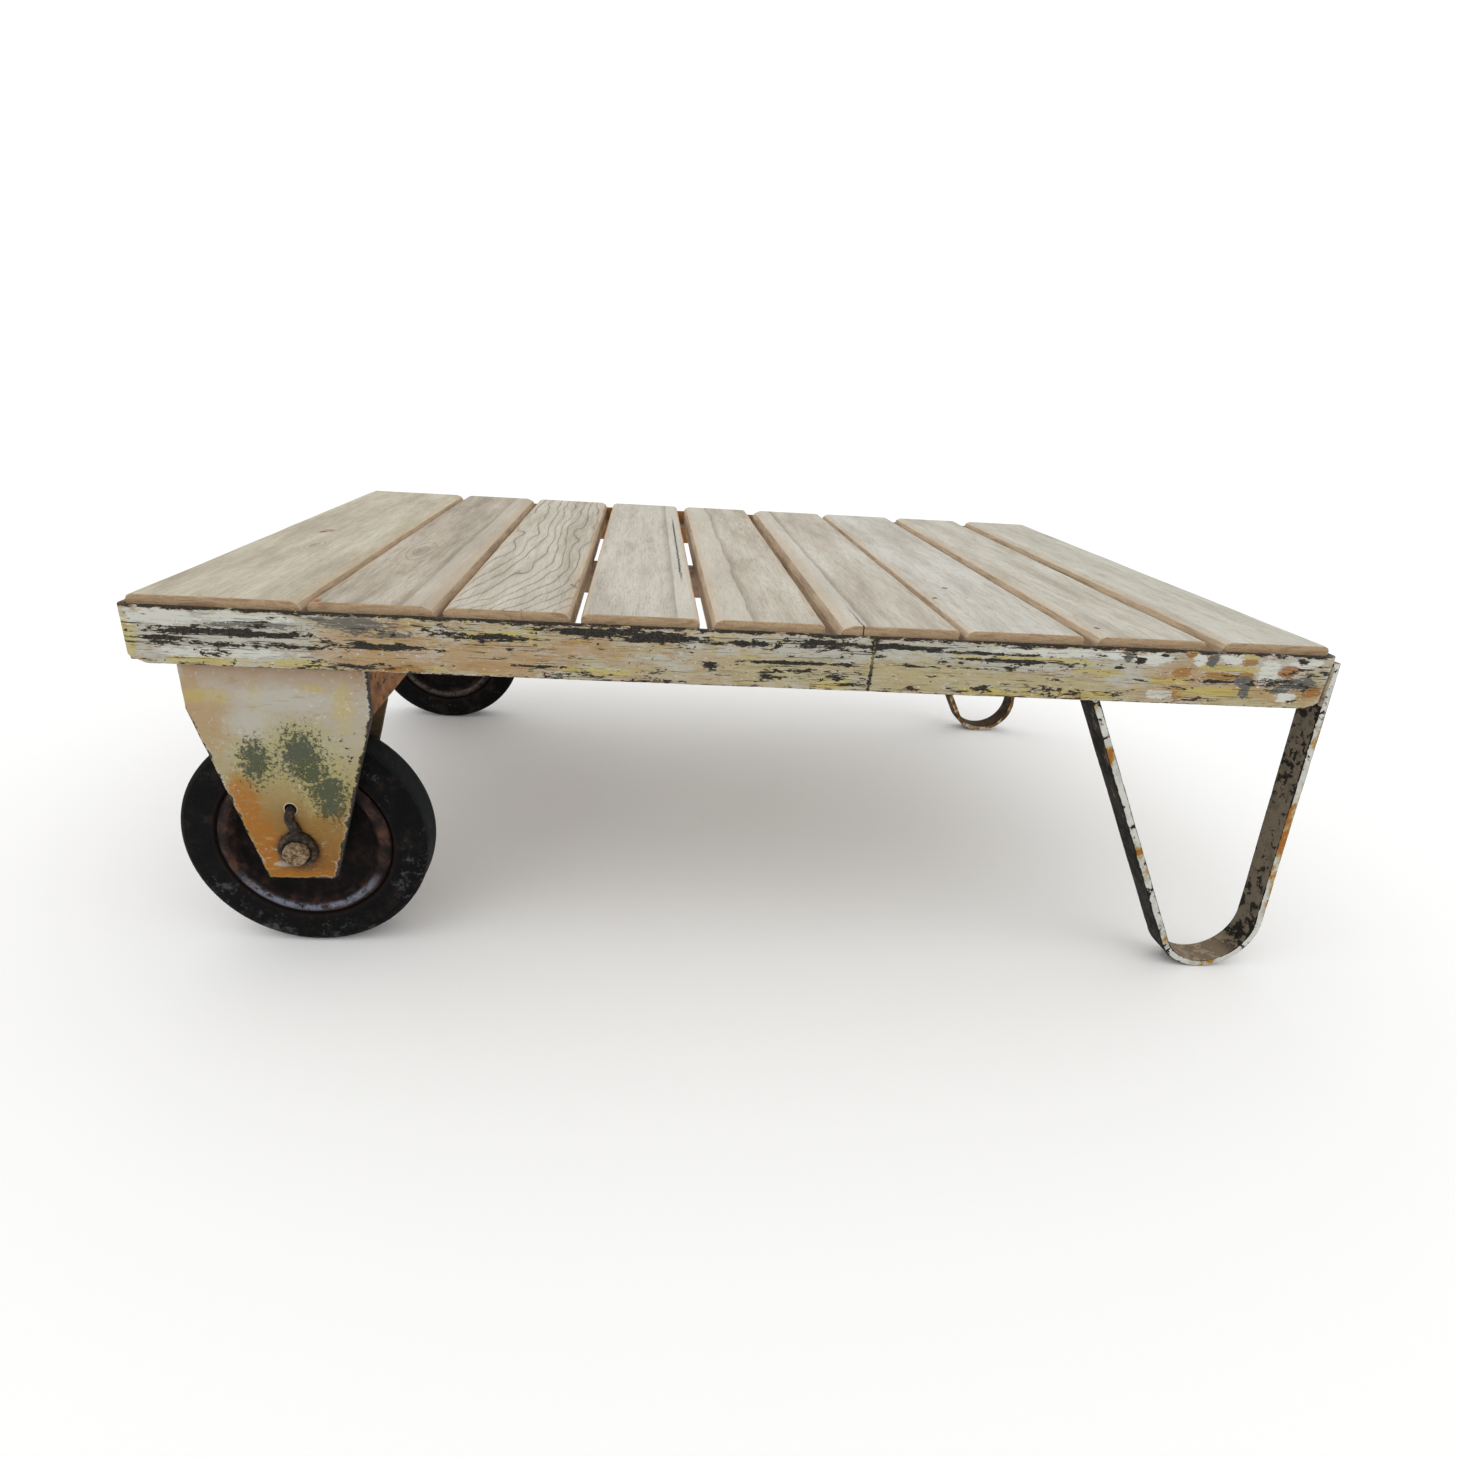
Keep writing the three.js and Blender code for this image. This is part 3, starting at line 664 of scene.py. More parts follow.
def oak(name, seed, tone, figure, streaks, low, width, fan=None, eyes=(), strip=None,
        crack=None, marks=()):
    """Dry sanded oak with its grain along Y. Figure and streaks say how strong the rippled
    figure and the grey smears are; low and width are the slat's. In all that follows X is a
    share of the width and the rest is metres, Y from the slat's front end. Fan is the Y in
    front of which long ring lines spread to the left; eyes are grey whorls (x, y, half width,
    half length); strip is where a paler strip begins, the side it lies on and how far its
    edge wanders; crack is the (x, start y, end y, width) of a split; marks are small spots
    (x, y, size, colour)."""
    s = Surface(name, seed)
    pale, warm, grey = tone
    drift = s.noise((0.03, 0.22, 0.03), 5, 0.62, 0)
    s.color = s.ramp(drift, (0.34, 0.50, 0.64), (grey, warm, pale))
    bend = s.noise((0.055, 0.24, 0.06), 2, 0.5, 1)
    wander = s.noise((0.03, 0.09, 0.03), 1.5, 0.5, 2)
    broken = s.step(s.noise((0.018, 0.08, 0.02), 5, 0.65, 3), 0.40, 0.60)

    ripple = s.step(s.wave(bend * 22 + s.x * 70), 0.5, 0.0) * broken * figure
    s.coat(GRAIN_GREY, ripple * 0.5)
    relief = ripple * -0.3
    if fan is not None:
        ahead = s.math("SUBTRACT", low.y + fan, s.y, clamp=True)
        wave = s.wave(s.x * 72 + ahead * ahead * 70 + wander * 0.9 + bend * 4.2)
        ring = s.step(wave, 0.24, 0.02) * s.step(broken, -0.9, 0.6)
        drawn = s.largest(ring, s.step(wave, 0.75, 0.1) * 0.22) * 0.9
        s.coat("766c5a", drawn)
        relief -= drawn * 1.2

    fibre = s.noise((0.0018, 0.035, 0.0018), 6, 0.75, 4)
    s.wash("928268", fibre, 0.50, 0.66, 0.46)
    s.wash("d6cfc0", fibre, 0.48, 0.34, 0.35)
    hair = s.noise((0.0032, 0.10, 0.0032), 6, 0.72, 5)
    s.wash(GRAIN_GREY, hair, 0.54, 0.64, 0.22)
    pores = s.step(s.noise((0.0012, 0.009, 0.0012), 3, 0.6, 6), 0.63, 0.70)
    s.coat("6e604c", pores * 0.45)
    smear = s.noise((0.014, 0.11, 0.014), 6, 0.66, 7)
    s.wash("8e8475", smear, 0.54, 0.70, 0.8 * streaks)
    saw = s.noise((0.05, 0.004, 0.05), 3, 0.6, 8)
    s.wash(GRAIN_GREY, saw, 0.56, 0.66, 0.10)

    for x, y, half_x, half_y in eyes:
        reach = s.nearest([(low.x + x * width, low.y + y, half_x, half_y)], (0, 1))
        curl = s.step(s.wave(wander * 1.6 + reach * 5), 0.55, 0.0) * s.step(reach, 1.0, 0.3)
        s.coat("7c705e", curl * 0.45)
        s.coat("62584a", s.step(reach, 0.32, 0.05) * s.step(fibre, 0.3, 0.6) * 0.45)
    for x, y, size, paint in marks:
        spot = (low.x + x * width, low.y + y, size * 0.7, size)
        s.coat(paint, s.patches([spot], fibre, 2.4, (0, 1)) * 0.75)

    if strip:
        x, way, swing = strip
        edge = s.noise((1, 0.11, 1), 3, 0.5, 9) * swing + (low.x + x * width - swing / 2)
        beyond = (s.x - edge) * way
        s.wash(pale, beyond, 0.0, 0.001, 0.40)
        s.coat("7c7262", s.step(beyond, -0.010, 0.0) * s.step(beyond, 0.001, 0.0) * 0.42)

    # Chamfers tinted tan and vertical sides tan to dark brown: partly the sides' own tone, partly
    # painted shade in the gaps
    sideways = abs(s.facing[0])
    s.wash("c4ae90", sideways, 0.15, 0.35, 0.35)
    planed = s.ramp(fibre + (smear * 1.4 - 0.7), (0.3, 0.5, 0.7), ("c4ae92", "b49a7c", "92785e"))
    s.wash(planed, sideways, 0.66, 0.82, 0.75)
    ring = s.noise((0.03, 1, 0.005), 5, 0.6, 10, distortion=0.6)
    end_pore = s.noise((0.0012, 1, 0.0016), 3, 0.7, 11)
    end_color = s.ramp(ring, (0.38, 0.5, 0.62), ("967c60", "b2997a", "a08668"))
    end_color = s.mix(s.step(end_pore, 0.5, 0.7) * 0.5, end_color, "745a40")
    s.wash(end_color, abs(s.facing[1]), 0.6, 0.8)

    if crack:
        x, start, end, gape = crack
        start += low.y
        end += low.y
        jag = s.noise((1, 0.010, 1), 5, 0.75, 12) * (10 * gape)
        gap = abs(s.x - (jag + (low.x + x * width - 5 * gape)))
        within = s.step(s.y, start, start + 0.08) * s.step(s.y, end, end - 0.1)
        split = s.step(gap, gape, 0.3 * gape) * within
        s.coat("302720", split)
        relief -= split * 3
    return s.finish(0.8, relief + fibre * 0.4 - pores * 0.5, specular=0.2)


# ---- Rubber, rims and small metal ----

def from_axle(s, axle):
    return s.nearest([(axle.x, axle.z, 1.0, 1.0)])


def rubber(name, seed, axle):
    s = Surface(name, seed)
    grit = s.noise(0.002, 4, 0.7, 0)
    patch = s.noise(0.026, 6, 0.72, 1)
    s.color = s.ramp(patch, (0.42, 0.55, 0.66), ("080809", "100f0f", "261f1c"))
    dust = s.noise(0.010, 7, 0.78, 2)
    crowd = s.noise(0.07, 2, 0.5, 3)
    s.wash("5c5e5e", dust + crowd * 0.5 - 0.25, 0.58, 0.68, 0.45)
    s.wash("181d1e", abs(s.facing[1]), 0.6, 0.2, 0.7)
    s.wash("281f1c", from_axle(s, axle), 0.097, 0.089, 0.55)
    return s.finish(s.blend(patch, 0.5, 0.8), grit + patch * 2, 0.0012, specular=0.07)


def rusty_rim(name, seed, axle, crest, rubbed_highlight_paint):
    """Dark rust, nearly black in the dish as dark paint and painted shade, and bright along the
    lip's lower arc as worn steel and a painted highlight.
    """
    s = Surface(name, seed)
    grit = s.noise(0.002, 5, 0.75, 0)
    blotch = s.noise(0.016, 6, 0.7, 1)
    radius = from_axle(s, axle)
    s.color = s.ramp(blotch, (0.38, 0.5, 0.64), ("181413", "2a1f1c", "4e352c"))
    # Nearly black in the dish: partly dark paint, partly painted shade
    dish_soot_and_shade = s.ramp(blotch, (0.48, 0.66), ("040404", "18110f"))
    s.wash(dish_soot_and_shade, radius, 0.0765, 0.069, 0.85)
    # A bright band on the lip's crest, only on its lower arc: partly worn steel, partly a painted
    # highlight
    band = s.step(radius, crest - 0.006, crest - 0.002) * s.step(
        radius, crest + 0.005, crest + 0.001)
    below = s.step(s.z, axle.z - 0.030, axle.z - 0.058)
    patchy = s.step(s.noise(0.009, 7, 0.75, 2), 0.36, 0.54)
    rubbed_and_highlight = band * below * patchy
    s.coat(rubbed_highlight_paint, rubbed_and_highlight)
    # White specks in that band: painted glints
    s.coat("b0b6bc", rubbed_and_highlight * s.step(grit, 0.58, 0.68))
    return s.finish(s.blend(rubbed_and_highlight, 0.6, 0.3), grit + blotch * 1.5, 0.0008,
                    metallic=s.blend(rubbed_and_highlight, 0.0, 0.5), specular=0.1)


def metal(name, seed, tones, roughness, metallic, depth=0.0003, size=0.006):
    s = Surface(name, seed)
    grit = s.noise(size / 3, 5, 0.75, 0)
    blotch = s.noise(size, 5, 0.65, 1)
    s.color = s.ramp(blotch, (0.38, 0.5, 0.62), tones)
    return s.finish(s.blend(grit, roughness - 0.1, roughness + 0.1), grit + blotch, depth,
                    metallic, 0.25)


# ---- Frame rails ----

rear_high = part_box("rear_rail")[1]
FRONT, REAR = rail_low.y, rear_high.y
FRAME_SIDES = ((FRONT, 1), (REAR, -1))
PLATE = 5.5 * MM
CORNER = 10 * MM
LEDGE_DROP = 20 * MM
LEDGE_REACH = 50 * MM
LEDGE_TOP = RAIL_TOP - LEDGE_DROP
LEDGE_UNDERSIDE = LEDGE_TOP - PLATE
LEDGE_ROOT = PLATE - 1 * MM
CORNER_CUT = 7 * MM
EDGE_ROUND = 0.9 * MM
FRAME_CENTRE = Vector(((LEFT + RIGHT) / 2, (FRONT + REAR) / 2, 0))
HALF_TURN = Matrix.Translation(FRAME_CENTRE) @ Matrix.Rotation(math.pi, 4, "Z") \
    @ Matrix.Translation(-FRAME_CENTRE)


def finish_rail(bm, ledge_corners, seed):
    """Adds the flat plate inside a rail, which the slats lie on, and wears the rail."""
    outline = rounded_outline([(x, y, 0.4 * MM) for x, y in ledge_corners], 2, 8 * MM)
    add_sweep(bm, lambda s: outline, [LEDGE_UNDERSIDE, LEDGE_TOP],
              lambda s, point: Vector((point.x, point.y, s)), 0.8 * MM)
    weather(bm, 0.25 * MM, 0.09, 0.7 * MM, 0.007, seed)
    return bm


def long_rail_mesh(seed):
    """Face plate bent round both corners, and the ledge behind it, as the front rail."""
    middle = CORNER - PLATE / 2
    quarter = math.pi / 2 * middle
    straight = RIGHT - LEFT - 2 * CORNER
    section = box_outline(-PLATE / 2, PLATE / 2, RAIL_BOTTOM, RAIL_TOP, EDGE_ROUND, 3, 5 * MM)

    def section_at(s):
        """The section's foot is cut away a little at the bend."""
        nearest = min(abs(s - quarter / 2), abs(s - 1.5 * quarter - straight))
        cut = CORNER_CUT * max(0.0, 1 - nearest / (1.3 * quarter))
        height = RAIL_TOP - RAIL_BOTTOM
        return [point + Vector((0, cut * ((RAIL_TOP - point.y) / height) ** 6))
                for point in section]

    def place(s, point):
        """Round the left corner, straight along the front and round the right corner."""
        gone = min(max(s - quarter, 0.0), straight)
        corner = Vector((LEFT + CORNER + gone, FRONT + CORNER))
        spot = corner + polar(math.pi + (s - gone) / middle, middle - point.x)
        return Vector((spot.x, spot.y, point.y))

    bm = bmesh.new()
    marks = (0, quarter, quarter + straight, 2 * quarter + straight)
    add_sweep(bm, section_at, chained(marks, (1.2 * MM, 4 * MM, 1.2 * MM)), place)
    return finish_rail(bm, [(LEFT + LEDGE_ROOT, FRONT + LEDGE_ROOT),
                            (RIGHT - LEDGE_ROOT, FRONT + LEDGE_ROOT),
                            (RIGHT - LEDGE_REACH, FRONT + LEDGE_REACH),
                            (LEFT + LEDGE_REACH, FRONT + LEDGE_REACH)], seed)


def end_rail_mesh(seed):
    """The wheel-end rail: its face plate between the corners, and its ledge."""
    low, high = FRONT + CORNER, REAR - CORNER
    section = box_outline(LEFT, LEFT + PLATE, RAIL_BOTTOM, RAIL_TOP, EDGE_ROUND, 3, 5 * MM)
    bm = bmesh.new()
    add_sweep(bm, lambda s: section, spaced(low, high, 4 * MM), along_y)
    return finish_rail(bm, [(LEFT + LEDGE_ROOT, low), (LEFT + CORNER, low),
                            (LEFT + LEDGE_REACH, FRONT + LEDGE_REACH),
                            (LEFT + LEDGE_REACH, REAR - LEDGE_REACH),
                            (LEFT + CORNER, high), (LEFT + LEDGE_ROOT, high)], seed)


def build_rails():
    front = rail_paint("front_rail_paint", 1, FRONT_RAIL_COATS, FRONT_RAIL_BARE, FRONT_RAIL_WELD)
    rear = rail_paint("rear_rail_paint", 21, bare_spots=REAR_RAIL_BARE,
                      plain=(1, -1, "b87e46"))
    wheel_end = rail_paint("wheel_end_paint", 31, plain=(2, 1, "96683a"))
    leg_end = rail_paint("leg_end_paint", 41)
    for node, paint, mesh_of, seed, turned in (
            ("front_rail", front, long_rail_mesh, 1, False),
            ("rear_rail", rear, long_rail_mesh, 2, True),
            ("wheel_end_rail", wheel_end, end_rail_mesh, 3, False),
            ("leg_end_rail", leg_end, end_rail_mesh, 4, True)):
        bm = mesh_of(seed)
        if turned:
            bm.transform(HALF_TURN)
        cover(node, bm, paint, "rail_paint")


def channel_corners(left, right, bottom, top, thickness, bend):
    """Section of a bent channel that is open downwards, anticlockwise."""
    tip = 0.8 * MM
    return [(left, bottom, tip), (left + thickness, bottom, tip),
            (left + thickness, top - thickness, bend), (right - thickness, top - thickness, bend),
            (right - thickness, bottom, tip), (right, bottom, tip),
            (right, top, bend + thickness), (left, top, bend + thickness)]


def build_channel(node, thickness, bend, along_x, paint, slot, seed):
    """A bent channel along X or Y that fills its node's box."""
    low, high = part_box(node)
    left, right, start, end = (low.y, high.y, low.x, high.x) if along_x else (
        low.x, high.x, low.y, high.y)
    section = rounded_outline(
        channel_corners(left, right, low.z, high.z, thickness, bend), 4, 8 * MM)
    bm = bmesh.new()
    place = (lambda s, point: Vector((s, point.x, point.y))) if along_x else along_y
    add_sweep(bm, lambda s: section, spaced(start, end, 8 * MM), place, 0.6 * MM)
    weather(bm, 0.3 * MM, 0.08, 0.6 * MM, 0.008, seed)
    cover(node, bm, paint, slot)


def build_bearers():
    paint = dark_paint("bearer_paint", 51, ("70503a", "a68c76", "8a5c36"))
    build_channel("mid_bearer", 5 * MM, 2 * MM, True, paint, "rail_paint", 5)
    paint = dark_paint("channel_paint", 61, ("684224", "966230", "b0804c"), 0.57)
    build_channel("wheel_channel", 6 * MM, 3 * MM, False, paint, "fork_paint", 6)


# ---- Deck ----

# Per slat: pale, warm and grey tones, strength of figure and of smears, and the chamfers of
# its left and right top edges in millimetres
SLATS = [
    ("c4beac", "b8b09c", "a69e8c", 0.25, 0.35, 7, 10),
    ("bcb4a6", "aea494", "948c7e", 0.45, 0.75, 7, 12),
    ("c6c1b4", "bcb6a8", "aaa394", 0.20, 0.25, 7, 8),
    ("c9c5ba", "c0bbaf", "aea89c", 0.35, 0.40, 6, 6),
    ("c8c2b6", "bcb5a7", "a8a090", 0.55, 0.55, 9, 5),
    ("c8c4b9", "bbb4a7", "a8a193", 0.35, 0.50, 13, 5),
    ("cbc9c2", "c2bfb6", "b2ada2", 0.30, 0.40, 9, 6),
    ("c8c5ba", "bfbbae", "aca799", 0.45, 0.50, 9, 6),
    ("c8c6bc", "c0bdb1", "b0ab9e", 0.30, 0.40, 8, 6),
]
OLD_RED = "964626"
DARK_SPECK = "463a2e"
# What sets single slats apart, as oak takes it
SLAT_EXTRAS = [
    {"eyes": [(0.50, 0.245, 0.022, 0.060)],
     "marks": [(0.40, 0.335, 0.010, "9e7662"), (0.37, 0.325, 0.005, DARK_SPECK)]},
    {"eyes": [(0.36, 0.24, 0.036, 0.115)], "strip": (0.74, 1, 0.006),
     "marks": [(0.04, 0.002, 0.009, OLD_RED)]},
    {"fan": 0.24, "marks": [(0.9483, 0.107, 0.005, DARK_SPECK)]},
    {"strip": (0.8045, 1, 0.002), "crack": (0.8909, 0.13, 0.60, 0.0012)},
    {"strip": (0.3396, -1, 0.016),
     "eyes": [(0.74, 0.51, 0.012, 0.03), (0.62, 0.275, 0.014, 0.03)]},
    {"strip": (0.2241, -1, 0.010), "crack": (0.19, -0.10, 0.09, 0.0007)},
    {"marks": [(0.32, 0.176, 0.004, DARK_SPECK), (0.08, 0.125, 0.004, DARK_SPECK)]},
    {"eyes": [(0.67, 0.52, 0.014, 0.05)], "marks": [(0.12, 0.03, 0.004, DARK_SPECK)]},
    {"eyes": [(0.30, 0.296, 0.013, 0.04)]},
]


def slat_mesh(low, high, left_cut, right_cut, seed):
    """A board whose top edges are planed off in two slightly wavy strokes, one steep and
    one flat."""
    def section_at(s):
        left = left_cut * (1 + 0.22 * noise.noise(Vector((s / 0.10, seed, 0))))
        right = right_cut * (1 + 0.22 * noise.noise(Vector((s / 0.12, seed, 9))))
        edge = 1.5 * MM
        return rounded_outline([
            (low.x, low.z, edge), (high.x, low.z, edge), (high.x, high.z - 0.85 * right, edge),
            (high.x - 0.3 * right, high.z - 0.3 * right, edge), (high.x - right, high.z, edge),
            (low.x + left, high.z, edge), (low.x + 0.3 * left, high.z - 0.3 * left, edge),
            (low.x, high.z - 0.85 * left, edge)], 3)

    bm = bmesh.new()
    add_sweep(bm, section_at, spaced(low.y, high.y, 7 * MM), along_y, 1.6 * MM)
    weather(bm, 0.3 * MM, 0.06, 0.4 * MM, 0.02, seed)
    return bm


def build_deck():
    for index, (slat, extras) in enumerate(zip(SLATS, SLAT_EXTRAS)):
        *tone, figure, streaks, left_cut, right_cut = slat
        name = f"slat_{index + 1}"
        low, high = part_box(name)
        material = oak(f"oak_{index + 1}", 3.1 * index + 0.7, tone, figure, streaks,
                       low, high.x - low.x, **extras)
        cover(name, slat_mesh(low, high, left_cut * MM, right_cut * MM, index + 11), material,
              "oak")


# ---- Legs ----

STRAP = 8 * MM
LEG_BEND = 57.5 * MM
OUTER_LEAN = math.radians(4.8)
INNER_LEAN = math.radians(28.6)
LEG_OUTER_TOP = 368 * MM


def leg_mesh(low, high, seed):
    """A strap along the middle line of the U, from the slanting arm's top to the outer arm's."""
    centre = Vector((high.x - LEG_BEND, LEG_BEND))
    middle = LEG_BEND - STRAP / 2
    first_turn = INNER_LEAN - math.pi
    inner_top = LEDGE_UNDERSIDE - 0.3 * MM
    bend_start = (inner_top - (centre + polar(first_turn, middle)).y) / math.cos(INNER_LEAN)
    bend_end = bend_start + (OUTER_LEAN - first_turn) * middle
    outer_length = (LEG_OUTER_TOP - (centre + polar(OUTER_LEAN, middle)).y) / math.cos(OUTER_LEAN)
    section = box_outline(-STRAP / 2, STRAP / 2, low.y, high.y, 1.3 * MM, 3, 6 * MM)

    def place(s, point):
        """Round the bend, and straight on before and after it, with a level first end."""
        bent = min(max(s, bend_start), bend_end)
        outward = polar(first_turn + (bent - bend_start) / middle)
        along = Vector((-outward.y, outward.x))
        spot = centre + outward * (middle + point.x) + along * (s - bent)
        if s == 0:
            spot += along * (inner_top - spot.y) / along.y
        return Vector((spot.x, point.y, spot.y))

    bm = bmesh.new()
    stations = chained((0, bend_start, bend_end, bend_end + outer_length),
                       (5 * MM, 4 * MM, 5 * MM))
    add_sweep(bm, lambda s: section, stations, place)
    weather(bm, 0.35 * MM, 0.05, 0.8 * MM, 0.009, seed)
    return bm


def build_legs():
    for node, colors, seed in (("front_leg", NEAR_LEG_COLORS, 3), ("rear_leg", FAR_LEG_COLORS, 4)):
        low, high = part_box(node)
        paint = leg_paint(f"{node}_paint", 71 + seed, colors, high.x - LEG_BEND)
        cover(node, leg_mesh(low, high, seed), paint, "leg_paint")


# ---- Forks ----

HALF_CHEEK_FOOT = 34.5 * MM
BORE = 13.1 * MM


def cheek_outline(node, axle, knee):
    """The cheek's corners (x, z, radius), anticlockwise from its lower left one."""
    low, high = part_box(node)
    return [(axle.x - HALF_CHEEK_FOOT, low.z, 3 * MM), (axle.x + HALF_CHEEK_FOOT, low.z, 8 * MM),
            (high.x, knee, 6 * MM), (high.x, high.z, 1.5 * MM), (low.x, high.z, 1.5 * MM),
            (low.x, knee, 6 * MM)]


def cheek_mesh(node, outline, holes, seed):
    low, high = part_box(node)
    ragged = [point + Vector((noise.noise(Vector((point.x, point.y, seed)) / 0.011),
                              noise.noise(Vector((point.y, point.x, seed)) / 0.011))) * 0.35 * MM
              for point in rounded_outline(outline, 4, 5 * MM)]
    loops = [ragged] + [circle(x, z, radius) for x, z, radius in holes]
    stand_up = Matrix.Translation((0, (low.y + high.y) / 2, 0)) @ Matrix.Rotation(
        math.pi / 2, 4, "X")
    bm = bmesh.new()
    add_plate(bm, loops, high.y - low.y, 0.9 * MM, stand_up)
    return bm


def cover_turned(node, section, axle, sides, material, slot, body):
    bm = bmesh.new()
    add_lathe(bm, section, axle, sides)
    cover(node, bm, material, slot, body)


def cover_ring(node, inner, outer, axle, sides, material, slot, body="trolley_frame"):
    """A ring about the axle that is as long as its node."""
    low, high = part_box(node)
    section = box_outline(inner, outer, low.y - axle.y, high.y - axle.y, 0.6 * MM, 2)
    cover_turned(node, section, axle, sides, material, slot, body)


def axle_mesh(node, centre, front_sign):
    """A pin with a worn domed end in front and a head behind the inner cheek."""
    low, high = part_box(node)
    tip, head = (low.y, high.y) if front_sign < 0 else (high.y, low.y)
    under = head + front_sign * 8 * MM
    profile = [(0, tip, 0.5), (8, tip, 0.4), (10.6, tip, 0.7), (12, tip, 1.8), (12.5, tip, 3.6),
               (12.5, under, 0), (18, under, 0), (19, under, 1), (19, under, 6.5),
               (16.5, under, 8), (0, under, 8)]
    bm = bmesh.new()
    add_lathe(bm, [(radius * MM, start - front_sign * depth * MM - centre.y)
                   for radius, start, depth in profile], centre, 40, 0.6 * MM)
    return bm


def add_wire(bm, points, radius_at, sides, closed=False):
    """A round bar through the points; radius_at takes the share of the way along."""
    rings = []
    count = len(points)
    for index, here in enumerate(points):
        if closed:
            ahead = points[(index + 1) % count] - points[index - 1]
        else:
            ahead = points[min(index + 1, count - 1)] - points[max(index - 1, 0)]
        ahead.normalize()
        across = ahead.cross(Vector((0, 1, 0))).normalized()
        up = across.cross(ahead)
        radius = radius_at(index / count)
        rings.append([here + (across * point.x + up * point.y) * radius
                      for point in round_points(sides)])
    add_skin(bm, rings, closed)


def catmull(a, b, c, d, t):
    return 0.5 * ((2 * b) + (c - a) * t + (2 * a - 5 * b + 4 * c - d) * t ** 2
                  + (3 * b - a - 3 * c + d) * t ** 3)


def keeper_mesh(node, centre, front_sign):
    """A ring about the axle's end, thicker at the top, with an S-bent stem into the cheek."""
    low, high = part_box(node)
    wire = 3.8 * MM
    face_y = low.y if front_sign < 0 else high.y
    middle = Vector((centre.x, face_y - front_sign * 6 * MM, centre.z))
    ring = [middle + Vector((-point.y, 0, point.x)) * 16.2 * MM for point in round_points(48)]
    bm = bmesh.new()
    add_wire(bm, ring, lambda t: wire * (1.05 + 0.6 * math.cos(2 * math.pi * t) ** 3), 14, True)
    bend = [(1.5, 15, 0.0), (1.2, 20, 0.3), (0.2, 26, 1.0), (-1.6, 31, 1.8), (-3.2, 36, 2.0),
            (-3.4, 41, 1.2), (-3.0, 44.5, -1.5), (-3.0, 45.8, -5.5), (-3.0, 46.0, -9.0)]
    nodes = [middle + Vector((-front_sign * x, front_sign * y, z)) * MM for x, z, y in bend]
    padded = nodes[:1] + nodes + nodes[-1:]
    stem = [catmull(*padded[index:index + 4], step / 4)
            for index in range(len(nodes) - 1) for step in range(4)]
    add_wire(bm, stem + nodes[-1:], lambda t: wire * (1.45 - 0.3 * t), 12)
    weather(bm, 0.45 * MM, 0.006, 0.0, 0.01, 8)
    return bm


def side_of(side):
    """The middle of a side's axle and the seed of its materials."""
    low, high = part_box(f"{side}_hub")
    return (low + high) / 2, 5 if side == "front" else 9


def build_fork(side):
    front_sign = -1 if side == "front" else 1
    axle, seed = side_of(side)
    bore = (axle.x, axle.z, BORE)
    keeper_hole = (axle.x + front_sign * 3 * MM, axle.z + 46 * MM, 5.5 * MM)
    node = f"{side}_outer_cheek"
    outline = cheek_outline(node, axle, 276 * MM)
    paint = fork_paint(f"{side}_fork_paint", 80 + seed, axle, front_sign,
                       [corner[:2] for corner in outline], keeper_hole)
    cover(node, cheek_mesh(node, outline, [bore, keeper_hole], seed), paint, "fork_paint")
    node = f"{side}_inner_cheek"
    # The inner cheek's very dark olive is partly its paint and partly painted shade, as it sits
    # behind the outer cheek
    paint = dark_paint(f"{node}_paint", 90 + seed,
                       ("2e2a1e", "4a402a", "644c2e"))
    outline = cheek_outline(node, axle, 264 * MM)
    cover(node, cheek_mesh(node, outline, [bore], seed + 1), paint, "fork_paint")
    crust = metal(f"{side}_axle_crust", 100 + seed, (
        "4e382a", "80684e", "a69274"), 0.8, 0.0, 0.0016, 0.0036)
    node = f"{side}_axle"
    cover(node, axle_mesh(node, axle, front_sign), crust, "axle_steel")
    oily = metal(f"{side}_keeper_iron", 110 + seed, ("120f0d", "281f18", "543e2a"), 0.4, 0.1, 0.001)
    node = f"{side}_axle_keeper"
    cover(node, keeper_mesh(node, axle, front_sign), oily, "keeper_iron")
    for place in ("outer", "inner"):
        cover_ring(f"{side}_{place}_washer", BORE, 21 * MM, axle, 48, small_steel, "washer_steel")


def in_metres(rows):
    return [[size * MM for size in row] for row in rows]


# ---- Wheels: sections as (radius, offset outwards, rounding) in millimetres ----

HALF_TYRE = [(125, 13, 10), (124.2, 19, 5), (119.5, 23.2, 5), (113, 24, 6), (95, 24, 2.5),
             (90.8, 22.5, 1.2), (89.5, 17.5, 1.0), (84, 16.5, 2), (72.8, 14, 1)]
RIM = [(20.3, 8, 0.6), (58, 8, 4), (68.5, 9.5, 1), (68.5, 0.2, 0.5), (72.5, 0.2, 0.5),
       (72.5, 16, 1.5), (77, 21.0, 2), (83, 18.5, 2), (88.3, 20.0, 1.0), (85.5, 23.6, 2.5),
       (80.5, 25.5, 3), (76.2, 24.2, 2.5), (73.4, 19.5, 3), (67, 13.5, 6), (57, 12, 5),
       (20.3, 12, 1)]


def mirrored(section):
    """The section on the other side of the wheel, in the same sense of rotation."""
    return [(radius, -offset, rounding) for radius, offset, rounding in reversed(section)]


